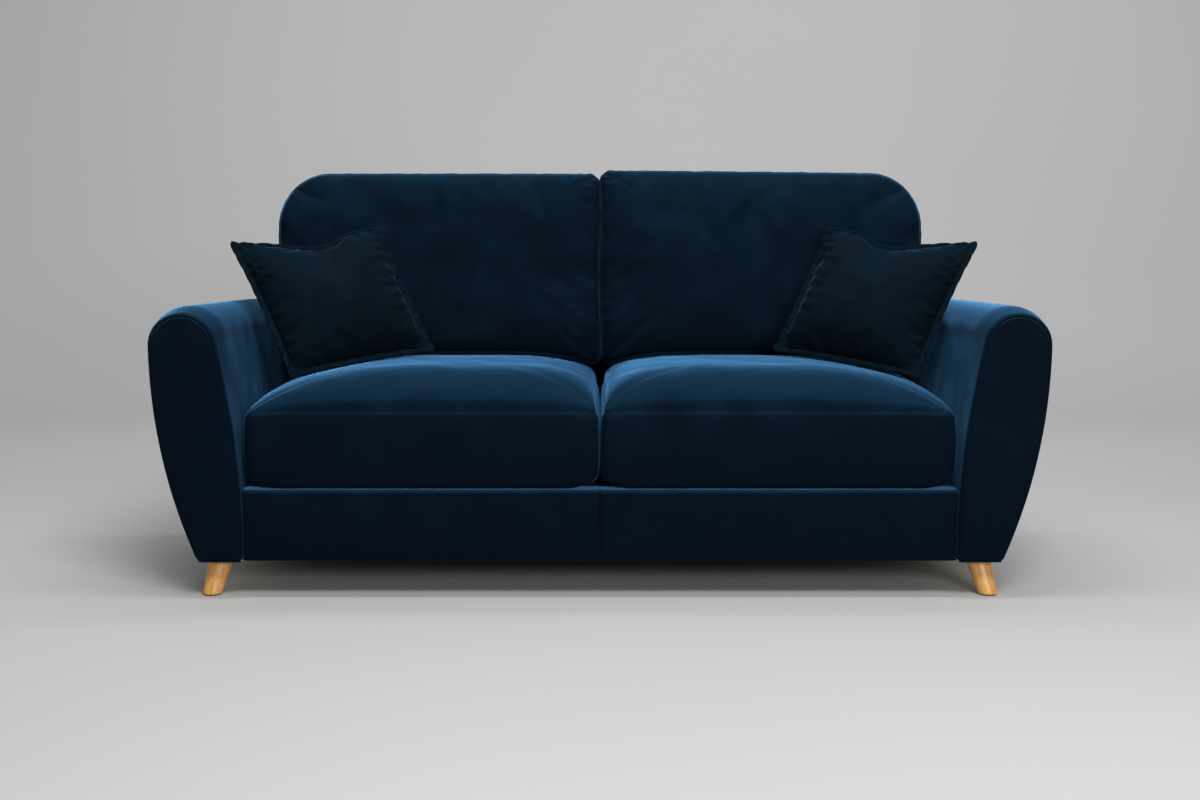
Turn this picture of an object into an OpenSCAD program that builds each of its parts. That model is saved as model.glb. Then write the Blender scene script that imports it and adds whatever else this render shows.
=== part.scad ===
// Three-seat sofa with tulip arms, loose cushions and turned wooden legs.
// X runs along the sofa, the seat faces -Y, Z is up and the floor is at Z = 0.

/* [Overall] */
// Width over both arms at their widest
overall_w = 2040; // [1800:10:2400]
// Depth from the arm fronts to the outside back
overall_d = 940; // [900:10:1100]
// Height to the top of the back cushions
overall_h = 970; // [940:5:1020]
// Height of the upholstered base above the floor
leg_h = 86; // [70:1:110]

/* [Arms] */
// Arm width from the inner face at the base to the widest point
arm_w = 202; // [190:1:250]
// Arm width at the base
arm_base_w = 100; // [96:1:130]
// Height of the arm above the floor
arm_h = 651; // [600:1:700]
// Radius of the rounded arm top
arm_top_r = 74; // [70:1:85]
// Height at which the inner side of the arm starts to flare
flare_z = 120; // [110:5:200]
// Thickness of the padded panel on the arm front
facing_t = 14; // [10:1:20]
// How far the edge of that panel stands inside the arm outline
facing_inset = 4; // [2:0.5:8]

/* [Base] */
// Height of the front border above the floor
rail_top = 251; // [235:1:280]
// How far the front border stands behind the arm fronts
rail_recess = 20; // [10:1:40]
// Thickness of the timber rails
rail_t = 25; // [20:1:32]
// Number of seat springs in each half
springs_per_half = 5; // [3:1:6]
// Diameter of the spring wire
wire_d = 3.8; // [3:0.2:5]
// Size of the glued corner blocks
block_s = 70; // [50:5:90]

/* [Upholstery] */
// Thickness of the velvet with its lining
cover_t = 2.5; // [2:0.5:4]
// Thickness of the foam on the arms
arm_foam_t = 20; // [15:1:30]
// Thickness of the foam on the front rail
rail_foam_t = 12; // [8:1:16]
// Thickness of the foam on the inside back
back_foam_t = 25; // [15:1:35]
// Thickness of the outside back panel
back_panel_t = 12; // [8:1:16]

/* [Back] */
// Height of the back frame above the floor
back_h = 765; // [720:5:800]
// How much wider the back frame is above the arms, on each side
back_wing = 19; // [-117:1:183]
// Distance from the outside back to the inside back at seat height
back_base_t = 198; // [170:1:230]
// Angle at which the inside back leans
rake = 11.6; // [8:0.1:14]
// Height at which the inside back starts to lean
rake_z = 500; // [470:5:530]

/* [Seat cushions] */
// Height of the top seam at the front of a seat cushion
seat_edge_z = 428; // [400:1:450]
// Height of the middle of a seat cushion
seat_crown_z = 512; // [480:1:530]
// Depth of the rounded front of a seat cushion
seat_round = 170; // [120:5:240]
// How far the cushion front stands before the front border
seat_overhang = 4; // [0:1:15]
// Gap between the two seat cushions
seat_seam_gap = 6; // [4:1:12]
// Gap between a seat cushion and the arm
seat_side_gap = 7; // [5:1:15]

/* [Back cushions] */
// Thickness of a back cushion
back_cushion_t = 186; // [140:2:200]
// Gap between the two back cushions
back_seam_gap = 8; // [4:1:14]
// Radius of the upper outer corner
back_corner_r = 95; // [60:5:120]
// How far a back cushion reaches past the back frame
back_cushion_over = 0; // [0:1:20]

/* [Scatter cushions] */
// Side of a scatter cushion with its flange
scatter_s = 430; // [380:5:500]
// Thickness in the middle of a scatter cushion
scatter_t = 110; // [90:2:140]
// Width of the flat flange around it
flange_w = 14; // [8:1:20]

/* [Legs] */
// Leg radius at the top
leg_top_r = 30; // [26:0.5:34]
// Leg radius at the foot
leg_foot_r = 22; // [16:0.5:26]
// Distance from the arm base to the leg centre
leg_in = 60; // [48:1:66]
// Distance from the arm front to the leg centre at its top
leg_set_back = 85; // [70:1:120]
// How far the foot stands outward of the leg top
splay_out = 22; // [0:1:30]
// How far the foot stands forward of the leg top
splay_fwd = 23; // [0:1:30]
// Thickness of the felt glide
glide_t = 3; // [2:0.5:5]

/* [Hidden] */
gap = 1;              // clearance between separate upholstered modules
rest_gap = 1.5;       // clearance under a loose cushion
core_gap = 1;         // clearance between a cover and its filling
hole_gap = 0.1;       // radial clearance of a bolt or a screw
board_t = 18;         // plywood boards
strap_w = 50;         // elastic webbing
strap_t = 3;
deck_t = 6;           // platform cloth and felt over the springs
tack = 0.5;           // glue line between foam and timber
bolt_r = 4;           // M8 bolts
plate_r = 24;         // leg plates
plate_t = 2.5;
screw_r = 1.8;        // plate screws
zip_w = 24;
zip_t = 2;
$fn = 64;
eps = 0.01;

front_y = -overall_d / 2;
back_y = overall_d / 2;
arm_in_x = overall_w / 2 - arm_w;
arm_y0 = front_y + facing_t + gap;
arm_y1 = back_y - back_panel_t - gap;
arm_top_z = arm_h - arm_top_r;
arm_cx = arm_w - arm_top_r;
border_y = front_y + rail_recess;
inner_half_w = arm_in_x - gap;
back_half_w = inner_half_w + back_wing;
base_z = leg_h + plate_t;
rail_z1 = rail_top - cover_t - rail_foam_t - tack;
front_rail_y0 = border_y + cover_t + rail_foam_t + tack;
back_rail_y1 = arm_y1 - 45;
back_rail_y0 = back_rail_y1 - rail_t;
inside_back_y = back_y - back_base_t;
frame_inset = cover_t + back_foam_t + strap_t + 2 * tack;
seat_z0 = rail_top + rest_gap;
seat_y0 = border_y - seat_overhang;
seat_y1 = inside_back_y - 8;
seat_x0 = seat_seam_gap / 2;
seat_x1 = arm_in_x - seat_side_gap;
seat_cx = (seat_x0 + seat_x1) / 2;
back_cushion_z = seat_crown_z + rest_gap;
back_cushion_h = (overall_h - back_cushion_z - back_cushion_t * sin(rake) / 2) / cos(rake);
zip_z = (seat_z0 + seat_edge_z) / 2;
zip_half = (seat_x1 - seat_x0) / 2 - 70;
pull_w = 9;
bolt_y = [-230, 230];
bolt_z = leg_h + 74;
leg_block_z = base_z + board_t;
scatter_at = [overall_w / 2 - 344, front_y + 444, seat_crown_z + 181];
scatter_turn = [-21, -24, 30];   // lean back, lean outward, turn inward

// ---- helpers ----

// points on an arc from angle a0 to angle a1
function arc(c, r, a0, a1, n = 12) =
  [for (i = [0:n]) c + r * [cos(a0 + (a1 - a0) * i / n), sin(a0 + (a1 - a0) * i / n)]];

// a rounded rectangle from p to q with corner radius r
function round_box(p, q, r, n = 5) = concat(
  arc([q.x - r, p.y + r], r, -90, 0, n), arc([q.x - r, q.y - r], r, 0, 90, n),
  arc([p.x + r, q.y - r], r, 90, 180, n), arc([p.x + r, p.y + r], r, 180, 270, n));

// an XZ drawing made into a bar along Y
module along_y(y0, y1) {
  translate([0, y1, 0]) rotate([90, 0, 0]) linear_extrude(y1 - y0) children();
}

// a YZ drawing made into a bar along X
module along_x(x0, x1) {
  translate([x0, 0, 0]) rotate([90, 0, 90]) linear_extrude(x1 - x0) children();
}

module box(p, q) {
  translate(p) cube(q - p);
}

// side = 1 is the right-hand half (+X), side = -1 the left-hand half
module half(side) {
  mirror([side < 0 ? 1 : 0, 0, 0]) children();
}

module arm_place(side) {
  half(side) translate([arm_in_x, 0, 0]) children();
}

// ---- arm outline: three arcs that run into each other ----

inner_r = (arm_cx ^ 2 + (arm_top_z - flare_z) ^ 2 - arm_top_r ^ 2) / (2 * (arm_cx - arm_top_r));
outer_e = arm_w - arm_base_w;
outer_r = ((arm_top_z - leg_h) ^ 2 + outer_e ^ 2) / (2 * outer_e);
inner_a = atan2(arm_top_z - flare_z, arm_cx - inner_r);

// the arm outline moved inward by t, with its foot raised by b
function arm_outline(t = 0, b = 0) = concat(
  [[t, leg_h + b]],
  arc([inner_r, flare_z], inner_r - t, 180, inner_a, 12),
  arc([arm_cx, arm_top_z], arm_top_r - t, inner_a, 0, 16),
  [for (p = arc([arm_w - outer_r, arm_top_z], outer_r - t, 0,
                -asin((arm_top_z - leg_h - b) / (outer_r - t)), 12))
    if (p.y < arm_top_z - eps) p]);

module arm_section(t = 0, b = 0) {
  polygon(arm_outline(t, b));
}

module above(z) {
  translate([-overall_w, z]) square([3 * overall_w, overall_h]);
}

// ---- arms ----

leg_y = [front_y + leg_set_back, back_y - leg_set_back];

module at_leg_tops() {
  for (y = leg_y) translate([leg_in, y, 0]) children();
}

module plate_screw_places() {
  for (a = [90:120:330]) rotate([0, 0, a]) translate([plate_r * 0.66, 0, 0]) children();
}

module arm_base_board(side) {
  color("burlywood") arm_place(side) difference() {
    along_y(arm_y0, arm_y1) difference() {
      arm_section(cover_t, cover_t);
      above(leg_block_z);
    }
    at_leg_tops() {
      translate([0, 0, leg_h]) cylinder(h = 40, r = bolt_r + hole_gap);
      plate_screw_places() translate([0, 0, leg_h]) cylinder(h = 17, r = screw_r + hole_gap);
    }
  }
}

module arm_end_boards(side) {
  wood_inset = cover_t + arm_foam_t + tack;
  color("burlywood") arm_place(side)
    for (y = [arm_y0, arm_y1 - board_t])
      along_y(y, y + board_t) intersection() {
        arm_section(wood_inset, cover_t);
        above(leg_block_z);
      }
}

arm_rail_y = [arm_y0 + board_t, arm_y1 - board_t];

module arm_top_rail(side) {
  color("tan") arm_place(side)
    box([arm_cx - 30, arm_rail_y[0], arm_top_z + 8], [arm_cx + 30, arm_rail_y[1], arm_top_z + 8 + rail_t]);
}

base_rail_top = leg_block_z + 84;
base_rail_play = 2;   // least clearance between the foam and the rail
// the foam's inner face curves towards the rail's top, and the rail stands clear of it there
foam_r = inner_r - cover_t - arm_foam_t;
foam_curve = foam_r - sqrt(foam_r ^ 2 - max(0, base_rail_top - flare_z) ^ 2);
base_rail_x = cover_t + arm_foam_t + max(base_rail_play, foam_curve + tack);

module arm_base_rail(side) {
  color("tan") difference() {
    arm_place(side) box([base_rail_x, arm_rail_y[0], leg_block_z],
                        [base_rail_x + rail_t, arm_rail_y[1], base_rail_top]);
    half(side) bolt_holes();
  }
}

module bolt_holes() {
  for (y = bolt_y) translate([arm_in_x - 60, y, bolt_z]) rotate([0, 90, 0])
    cylinder(h = 160, r = bolt_r + hole_gap);
}

module arm_foam(side) {
  color("lightyellow") difference() {
    arm_place(side) along_y(arm_y0, arm_y1) intersection() {
      difference() {
        arm_section(cover_t, cover_t);
        arm_section(cover_t + arm_foam_t, cover_t);
      }
      above(leg_block_z);
    }
    half(side) bolt_holes();
  }
}

module arm_cover(side) {
  color("midnightblue") difference() {
    arm_place(side) difference() {
      along_y(arm_y0, arm_y1) difference() {
        arm_section();
        arm_section(cover_t, cover_t);
      }
      at_leg_tops() translate([0, 0, leg_h - 5]) cylinder(h = 12, r = plate_r + 0.5);
    }
    half(side) bolt_holes();
  }
}

module arm_facing(side) {
  color("midnightblue") arm_place(side)
    along_y(front_y, front_y + facing_t) arm_section(facing_inset, 0);
}

module arm_bolts() {
  color("silver") for (s = [-1, 1]) half(s)
    for (y = bolt_y) translate([arm_in_x - gap - rail_t, y, bolt_z]) rotate([0, 90, 0]) {
      cylinder(h = gap + rail_t + base_rail_x + rail_t + 4, r = bolt_r);
      translate([0, 0, -5]) cylinder(h = 5, r = 2 * bolt_r);
    }
}

// ---- base ----

module front_rail() {
  color("tan") box([-inner_half_w, front_rail_y0, base_z], [inner_half_w, front_rail_y0 + rail_t, rail_z1]);
}

module back_rail() {
  color("tan") box([-inner_half_w, back_rail_y0, base_z], [inner_half_w, back_rail_y1, rail_z1]);
}

span_y0 = front_rail_y0 + rail_t;

module base_side_rails() {
  color("tan") difference() {
    for (s = [-1, 1]) half(s)
      box([inner_half_w - rail_t, span_y0, base_z], [inner_half_w, back_rail_y0, rail_z1]);
    for (s = [-1, 1]) half(s) bolt_holes();
  }
}

module seat_cross_rail() {
  color("tan") box([-rail_t / 2, span_y0, base_z], [rail_t / 2, back_rail_y0, rail_z1 - 40]);
}

corner_block_z0 = base_z + 20;
corner_block_z1 = rail_z1 - 37.5;  // below the springs

module corner_blocks() {
  color("burlywood") for (s = [-1, 1]) half(s) {
    translate([inner_half_w - rail_t, span_y0, corner_block_z0])
      linear_extrude(corner_block_z1 - corner_block_z0)
      polygon([[0, 0], [-block_s, 0], [0, block_s]]);
    translate([inner_half_w - rail_t, back_rail_y0, corner_block_z0])
      linear_extrude(corner_block_z1 - corner_block_z0)
      polygon([[0, 0], [-block_s, 0], [0, -block_s]]);
  }
}

// one flat zigzag wire: cross bars joined by half rings at alternate ends
spring_w = 48;
spring_end = 14;
spring_y0 = front_rail_y0 + spring_end;
spring_y1 = back_rail_y0 + rail_t - spring_end;
spring_bends = 16;
spring_pitch = (spring_y1 - spring_y0) / spring_bends;

module spring_2d() {
  r = spring_pitch / 2;
  for (i = [0:spring_bends])
    translate([-spring_w / 2, spring_y0 + i * spring_pitch - wire_d / 2]) square([spring_w, wire_d]);
  for (i = [0:spring_bends - 1])
    mirror([i % 2, 0, 0]) translate([spring_w / 2, spring_y0 + (i + 0.5) * spring_pitch])
      intersection() {
        difference() {
          circle(r + wire_d / 2, $fn = 32);
          circle(r - wire_d / 2, $fn = 32);
        }
        translate([0, -2 * r]) square([2 * r, 4 * r]);
      }
}

spring_step = (inner_half_w - rail_t - rail_t / 2) / springs_per_half;
spring_x = [for (s = [-1, 1], i = [0:springs_per_half - 1]) s * (rail_t / 2 + (i + 0.5) * spring_step)];

module seat_springs() {
  color("dimgray") for (x = spring_x)
    translate([x, 0, rail_z1]) linear_extrude(wire_d) spring_2d();
}

module spring_clips() {
  color("silver") for (x = spring_x, y = [spring_y0, spring_y1])
    translate([x, y, rail_z1]) difference() {
      box([-9, -7, 0], [9, 7, wire_d + 1.5]);
      box([-10, -wire_d / 2 - hole_gap, -1], [10, wire_d / 2 + hole_gap, wire_d + hole_gap]);
    }
}

deck_z0 = rail_top - cover_t - deck_t;

module seat_deck() {
  color("gray") box([-inner_half_w, border_y + 62, deck_z0], [inner_half_w, back_rail_y1, deck_z0 + deck_t]);
}

module dust_cover() {
  color("black") box([-inner_half_w, border_y + cover_t + rail_foam_t, leg_h],
                     [inner_half_w, arm_y1, leg_h + 1.5]);
}

// the front border seen from the side, moved inward by t
module border_section(t, b = 0) {
  r = 22 - t;
  y0 = border_y + t;
  z1 = rail_top - t;
  polygon(concat(
    [[y0, leg_h + b], [border_y + 60 + (t > 0 ? 1 : 0), leg_h + b], [border_y + 60 + (t > 0 ? 1 : 0), z1]],
    arc([y0 + r, z1 - r], r, 90, 180, 8)));
}

module front_border(side) {
  color("midnightblue") half(side) along_x(gap / 4, inner_half_w) difference() {
    border_section(0);
    border_section(cover_t, -1);
  }
}

module rail_foam() {
  color("lightyellow") along_x(-inner_half_w, inner_half_w) difference() {
    border_section(cover_t);
    translate([front_rail_y0 - tack, 0]) square([rail_top, rail_z1 + tack]);
    translate([front_rail_y0 + 6, 0]) square([rail_top, 2 * rail_top]);
  }
}

// ---- back ----

// where the inside back stands at height z
function inside_y(z) = inside_back_y + max(0, z - rake_z) * tan(rake);

// the back module seen from the side, moved inward by t
module back_side(t) {
  polygon([[inside_y(rail_top) + t, rail_top], [inside_y(rake_z) + t, rake_z],
           [inside_y(back_h - t) + t, back_h - t], [arm_y1, back_h - t], [arm_y1, rail_top]]);
}

// the back module seen from the front: it follows the arms, then closes in above them
function arm_side_pt(z, t) = [arm_in_x + inner_r - (inner_r + gap + t) * cos(asin((z - flare_z) / inner_r)), z];
shoulder_z = arm_top_z + 10;
function back_half_outline(t) = concat(
  [for (i = [0:8]) arm_side_pt(rail_top + (shoulder_z - rail_top) * i / 8, t)],
  [[back_half_w - t, arm_h + 10]],
  arc([back_half_w - 50, back_h - 50], 50 - t, 0, 90, 6));

module back_front(t) {
  r = back_half_outline(t);
  polygon(concat(r, [for (i = [len(r) - 1:-1:0]) [-r[i].x, r[i].y]]));
}

module back_block(t) {
  intersection() {
    along_x(-overall_w / 2, overall_w / 2) back_side(t);
    along_y(front_y, arm_y1) back_front(t);
  }
}

module inside_back_cover() {
  color("midnightblue") difference() {
    back_block(0);
    translate([0, eps, 0]) back_block(cover_t);
    box([-inner_half_w, arm_y1 - 60, rail_top - 1], [inner_half_w, arm_y1 + 1, back_h - 60]);
    box([-inner_half_w + 40, inside_back_y + 30, rail_top - 1], [inner_half_w - 40, arm_y1, rail_top + 20]);
  }
}

module back_foam() {
  color("lightyellow") intersection() {
    along_x(-inner_half_w + 4, inner_half_w - 4) polygon([
      [inside_y(rail_top) + cover_t + tack, rail_top + 4],
      [inside_y(rake_z) + cover_t + tack, rake_z],
      [inside_y(back_h - 30) + cover_t + tack, back_h - 30],
      [inside_y(back_h - 30) + cover_t + back_foam_t, back_h - 30],
      [inside_y(rake_z) + cover_t + back_foam_t, rake_z],
      [inside_y(rail_top) + cover_t + back_foam_t, rail_top + 4]]);
    along_y(front_y, arm_y1) back_front(cover_t + tack);
  }
}

strap_z = [for (i = [0:5]) rail_top + 20 + i * (back_h - 40 - rail_top - 20 - strap_w - rail_t) / 5];

module back_webbing() {
  strap_y = cover_t + back_foam_t + tack;
  color("dimgray") for (z = strap_z) let (bend = min(max(rake_z, z + 1), z + strap_w - 1))
    along_x(-inner_half_w + 8, inner_half_w - 8)
      polygon([for (p = [[0, z], [strap_t, z], [strap_t, bend], [strap_t, z + strap_w],
                         [0, z + strap_w], [0, bend]])
        [inside_y(p.y) + strap_y + p.x, p.y]]);
}

boards_top = back_h - 40 - rail_t;

module back_frame_boards() {
  color("burlywood") for (x = [-1, 0, 1])
    translate([x * (inner_half_w - 30) - rail_t / 2, 0, 0]) along_x(0, rail_t) polygon([
      [inside_y(rail_top) + frame_inset, rail_top + 1],
      [inside_y(rake_z) + frame_inset, rake_z],
      [inside_y(boards_top) + frame_inset, boards_top],
      [arm_y1 - cover_t, boards_top], [arm_y1 - cover_t, base_z],
      [back_rail_y1, base_z], [back_rail_y1, rail_top + 1]]);
}

module back_top_rail() {
  color("tan") box([-inner_half_w + 12, inside_y(back_h) + frame_inset, boards_top],
                   [inner_half_w - 12, arm_y1 - cover_t - 1, boards_top + rail_t]);
}

module outside_back_panel() {
  color("midnightblue") along_y(arm_y1 + gap, back_y) {
    for (s = [-1, 1]) mirror([s < 0 ? 1 : 0, 0]) {
      translate([arm_in_x, 0]) arm_section(facing_inset, 0);
      polygon(concat([[0, leg_h], [arm_in_x + 10, leg_h]],
        [for (i = [0:6]) arm_side_pt(flare_z + (shoulder_z - flare_z) * i / 6, -gap - 12)],
        [[back_half_w - 2, arm_h + 10]],
        arc([back_half_w - 50, back_h - 52], 48, 0, 90, 6), [[0, back_h - 4]]));
    }
  }
}

// ---- legs ----

leg_spots = [[-1, -1], [1, -1], [-1, 1], [1, 1]];

// leg top centre, spot = [left or right, front or back]
function leg_top(s) = [s.x * (arm_in_x + leg_in), s.y < 0 ? leg_y[0] : leg_y[1]];
function leg_foot(s) = leg_top(s) + [s.x * splay_out, s.y * splay_fwd];

module leg(s) {
  d = leg_top(s) - leg_foot(s);
  lean = atan2(norm(d), leg_h);
  spare = 20;
  slope = (leg_top_r - leg_foot_r) / leg_h;
  color("burlywood") difference() {
    intersection() {
      translate([leg_foot(s).x, leg_foot(s).y, 0]) rotate([0, 0, atan2(d.y, d.x)]) rotate([0, lean, 0])
        translate([0, 0, -spare]) cylinder(h = leg_h + 3 * spare, r1 = leg_foot_r - slope * spare,
                                          r2 = leg_top_r + slope * 2 * spare);
      box([-overall_w, -overall_d, glide_t], [overall_w, overall_d, leg_h]);
    }
    translate([leg_top(s).x, leg_top(s).y, leg_h - 42]) cylinder(h = 60, r = bolt_r + hole_gap);
  }
}

module at_all_leg_tops() {
  for (s = leg_spots) translate([leg_top(s).x, leg_top(s).y, 0]) mirror([s.x < 0 ? 1 : 0, 0, 0]) children();
}

module leg_plates() {
  color("silver") at_all_leg_tops() translate([0, 0, leg_h]) difference() {
    cylinder(h = plate_t, r = plate_r);
    translate([0, 0, -1]) cylinder(h = plate_t + 2, r = bolt_r + hole_gap);
    plate_screw_places() {
      translate([0, 0, -1]) cylinder(h = plate_t + 2, r = screw_r + hole_gap);
      translate([0, 0, -1]) cylinder(h = 1 + 1.4, r = 3.5);
    }
  }
}

module leg_bolts() {
  color("silver") at_all_leg_tops() translate([0, 0, leg_h - 40]) cylinder(h = 60, r = bolt_r);
}

module plate_screws() {
  color("silver") at_all_leg_tops() plate_screw_places() translate([0, 0, leg_h]) {
    translate([0, 0, 0.1]) cylinder(h = 1.2, r = 3.4);
    translate([0, 0, 0.1]) cylinder(h = 15, r = screw_r);
  }
}

module leg_glides() {
  color("saddlebrown") for (s = leg_spots)
    translate([leg_foot(s).x, leg_foot(s).y, 0]) cylinder(h = glide_t, r = leg_foot_r - 4);
}

// ---- seat cushions ----

// the seat cushion seen from the front, moved inward by t
module seat_front(t) {
  w = (seat_x1 - seat_x0) / 2 - t;
  r = 26;
  z1 = seat_edge_z - t;
  rise = seat_crown_z - seat_edge_z;
  polygon(concat(
    arc([seat_cx + w - r, seat_z0 + t + r], r, -90, 0, 5),
    [for (i = [0:20]) let (u = 1 - i / 10) [seat_cx + u * w, z1 + rise * (1 - abs(u) ^ 2.6)]],
    arc([seat_cx - w + r, seat_z0 + t + r], r, 180, 270, 5)));
}

// the seat cushion seen from the side: round at the front, level behind that
module seat_side(t) {
  r = 26;
  y0 = seat_y0 + t;
  y1 = seat_y1 - t;
  z1 = seat_crown_z - t;
  polygon(concat(
    arc([y0 + r, seat_z0 + t + r], r, 270, 180, 5),
    [for (a = [0:9:90]) [y0 + seat_round * (1 - cos(a)), seat_edge_z - t + (seat_crown_z - seat_edge_z) * sin(a)]],
    arc([y1 - r, z1 - r], r, 90, 0, 5),
    [[y1, seat_z0 + t]]));
}

module seat_shape(t) {
  intersection() {
    along_y(front_y, back_y) seat_front(t);
    along_x(0, arm_in_x) seat_side(t);
  }
}

module seat_cushion_cover(side) {
  color("navy") half(side) difference() {
    seat_shape(0);
    seat_shape(cover_t);
  }
}

module seat_cushion_core(side) {
  color("lightyellow") half(side) seat_shape(cover_t + core_gap);
}

module seat_zip(side) {
  color("black") half(side)
    box([seat_cx - zip_half, seat_y1, zip_z - zip_w / 2], [seat_cx + zip_half, seat_y1 + zip_t, zip_z + zip_w / 2]);
}

module zip_pull(side) {
  color("dimgray") half(side) translate([seat_cx + zip_half - 2 * pull_w, seat_y1 + zip_t + 0.3, zip_z]) {
    box([0, 0, -5], [pull_w, 2.2, 5]);
    box([2, 0.6, -22], [pull_w - 2, 2, -4]);
  }
}

// ---- back cushions ----

back_x0 = back_seam_gap / 2;
back_x1 = back_half_w + back_cushion_over;
back_cx = (back_x0 + back_x1) / 2;
cushion_edge = 0.72;       // thickness at the sides, as a share of the middle

// the back cushion from above: flat behind, crowned in front
module back_plan(t) {
  w = (back_x1 - back_x0) / 2 - t;
  d = back_cushion_t;
  polygon(concat([[back_cx + w, -t], [back_cx - w, -t]],
    [for (i = [0:16]) let (u = -1 + i / 8)
      [back_cx + u * w, t - d * (cushion_edge + (1 - cushion_edge) * (1 - abs(u) ^ 3))]]));
}

// the back cushion from the side: straight faces, round top and bottom
module back_profile(t) {
  d = back_cushion_t;
  h = back_cushion_h - t;
  r = 50;
  crown = 95;
  polygon(concat(
    arc([-r - t, r + t], r, -90, 0, 5),
    [for (a = [0:10:180]) [-d / 2 + (d / 2 - t) * cos(a), h - crown + crown * sin(a)]],
    arc([-d + r + t, r + t], r, 180, 270, 5)));
}

// the back cushion from the front: a larger radius on the upper outer corner
module back_face(t) {
  ro = back_corner_r;
  ri = 55;
  polygon(concat(
    arc([back_x1 - t - 20, t + 20], 20, -90, 0, 3),
    arc([back_x1 - t - ro, back_cushion_h + 10 - t - ro], ro, 0, 90, 8),
    arc([back_x0 + t + ri, back_cushion_h + 10 - t - ri], ri, 90, 180, 6),
    [[back_x0 + t, t]]));
}

module back_shape(t) {
  intersection() {
    linear_extrude(back_cushion_h + 20) back_plan(t);
    along_x(0, arm_in_x + arm_w) back_profile(t);
    along_y(-2 * back_cushion_t, back_cushion_t) back_face(t);
  }
}

module back_place(side) {
  half(side) translate([0, inside_y(back_cushion_z) - 2 * rest_gap, back_cushion_z])
    rotate([-rake, 0, 0]) children();
}

module back_cushion_cover(side) {
  color("navy") back_place(side) difference() {
    back_shape(0);
    back_shape(cover_t);
  }
}

module back_cushion_fill(side) {
  color("white") back_place(side) back_shape(cover_t + core_gap);
}

// ---- scatter cushions ----

// a lens with thin ends: half its width w, its thickness d
module lens(w, d) {
  polygon([for (i = [0:31]) let (a = 360 * i / 32, u = cos(a))
    [w * u, sign(sin(a)) * d / 2 * (1 - abs(u) ^ 2.4) ]]);
}

module scatter_shape(t) {
  w = scatter_s / 2 - flange_w - t;
  intersection() {
    translate([0, 0, -w]) linear_extrude(2 * w) lens(w, scatter_t - 2 * t);
    translate([-w, 0, 0]) rotate([90, 0, 90]) linear_extrude(2 * w) rotate(90) lens(w, scatter_t - 2 * t);
  }
}

module scatter_place(side) {
  half(side) translate(scatter_at) rotate([0, -scatter_turn[1], 0]) rotate([scatter_turn[0], 0, 0])
    rotate([0, 0, -scatter_turn[2]]) children();
}

module scatter_cover(side) {
  color("navy") scatter_place(side) difference() {
    union() {
      scatter_shape(0);
      box([-scatter_s / 2, -cover_t, -scatter_s / 2], [scatter_s / 2, cover_t, scatter_s / 2]);
    }
    scatter_shape(cover_t);
  }
}

module scatter_pad(side) {
  color("white") scatter_place(side) scatter_shape(cover_t + core_gap);
}

front_rail();
back_rail();
base_side_rails();
seat_cross_rail();
corner_blocks();
seat_springs();
spring_clips();
seat_deck();
back_frame_boards();
back_top_rail();
back_webbing();
back_foam();
inside_back_cover();
outside_back_panel();
dust_cover();
arm_base_board(-1);  // arm_base_board_left
arm_base_board(1);  // arm_base_board_right
arm_end_boards(-1);  // arm_end_boards_left
arm_end_boards(1);  // arm_end_boards_right
arm_top_rail(-1);  // arm_top_rail_left
arm_top_rail(1);  // arm_top_rail_right
arm_base_rail(-1);  // arm_base_rail_left
arm_base_rail(1);  // arm_base_rail_right
arm_foam(-1);  // arm_foam_left
arm_foam(1);  // arm_foam_right
arm_cover(-1);  // arm_cover_left
arm_cover(1);  // arm_cover_right
arm_facing(-1);  // arm_facing_left
arm_facing(1);  // arm_facing_right
arm_bolts();
rail_foam();
front_border(-1);  // front_border_left
front_border(1);  // front_border_right
leg(leg_spots[0]);  // leg_front_left
leg(leg_spots[1]);  // leg_front_right
leg(leg_spots[2]);  // leg_back_left
leg(leg_spots[3]);  // leg_back_right
leg_plates();
leg_bolts();
plate_screws();
leg_glides();
seat_cushion_cover(-1);  // seat_cushion_cover_left
seat_cushion_cover(1);  // seat_cushion_cover_right
seat_cushion_core(-1);  // seat_cushion_core_left
seat_cushion_core(1);  // seat_cushion_core_right
seat_zip(-1);  // seat_zip_left
seat_zip(1);  // seat_zip_right
zip_pull(-1);  // zip_pull_left
zip_pull(1);  // zip_pull_right
back_cushion_cover(-1);  // back_cushion_cover_left
back_cushion_cover(1);  // back_cushion_cover_right
back_cushion_fill(-1);  // back_cushion_fill_left
back_cushion_fill(1);  // back_cushion_fill_right
scatter_cover(-1);  // scatter_cover_left
scatter_cover(1);  // scatter_cover_right
scatter_pad(-1);  // scatter_pad_left
scatter_pad(1);  // scatter_pad_right
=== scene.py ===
"""A three-seat velvet sofa with tulip arms, loose cushions and splayed beech legs."""
import logging
import math
from dataclasses import dataclass, field
from enum import Enum

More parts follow.
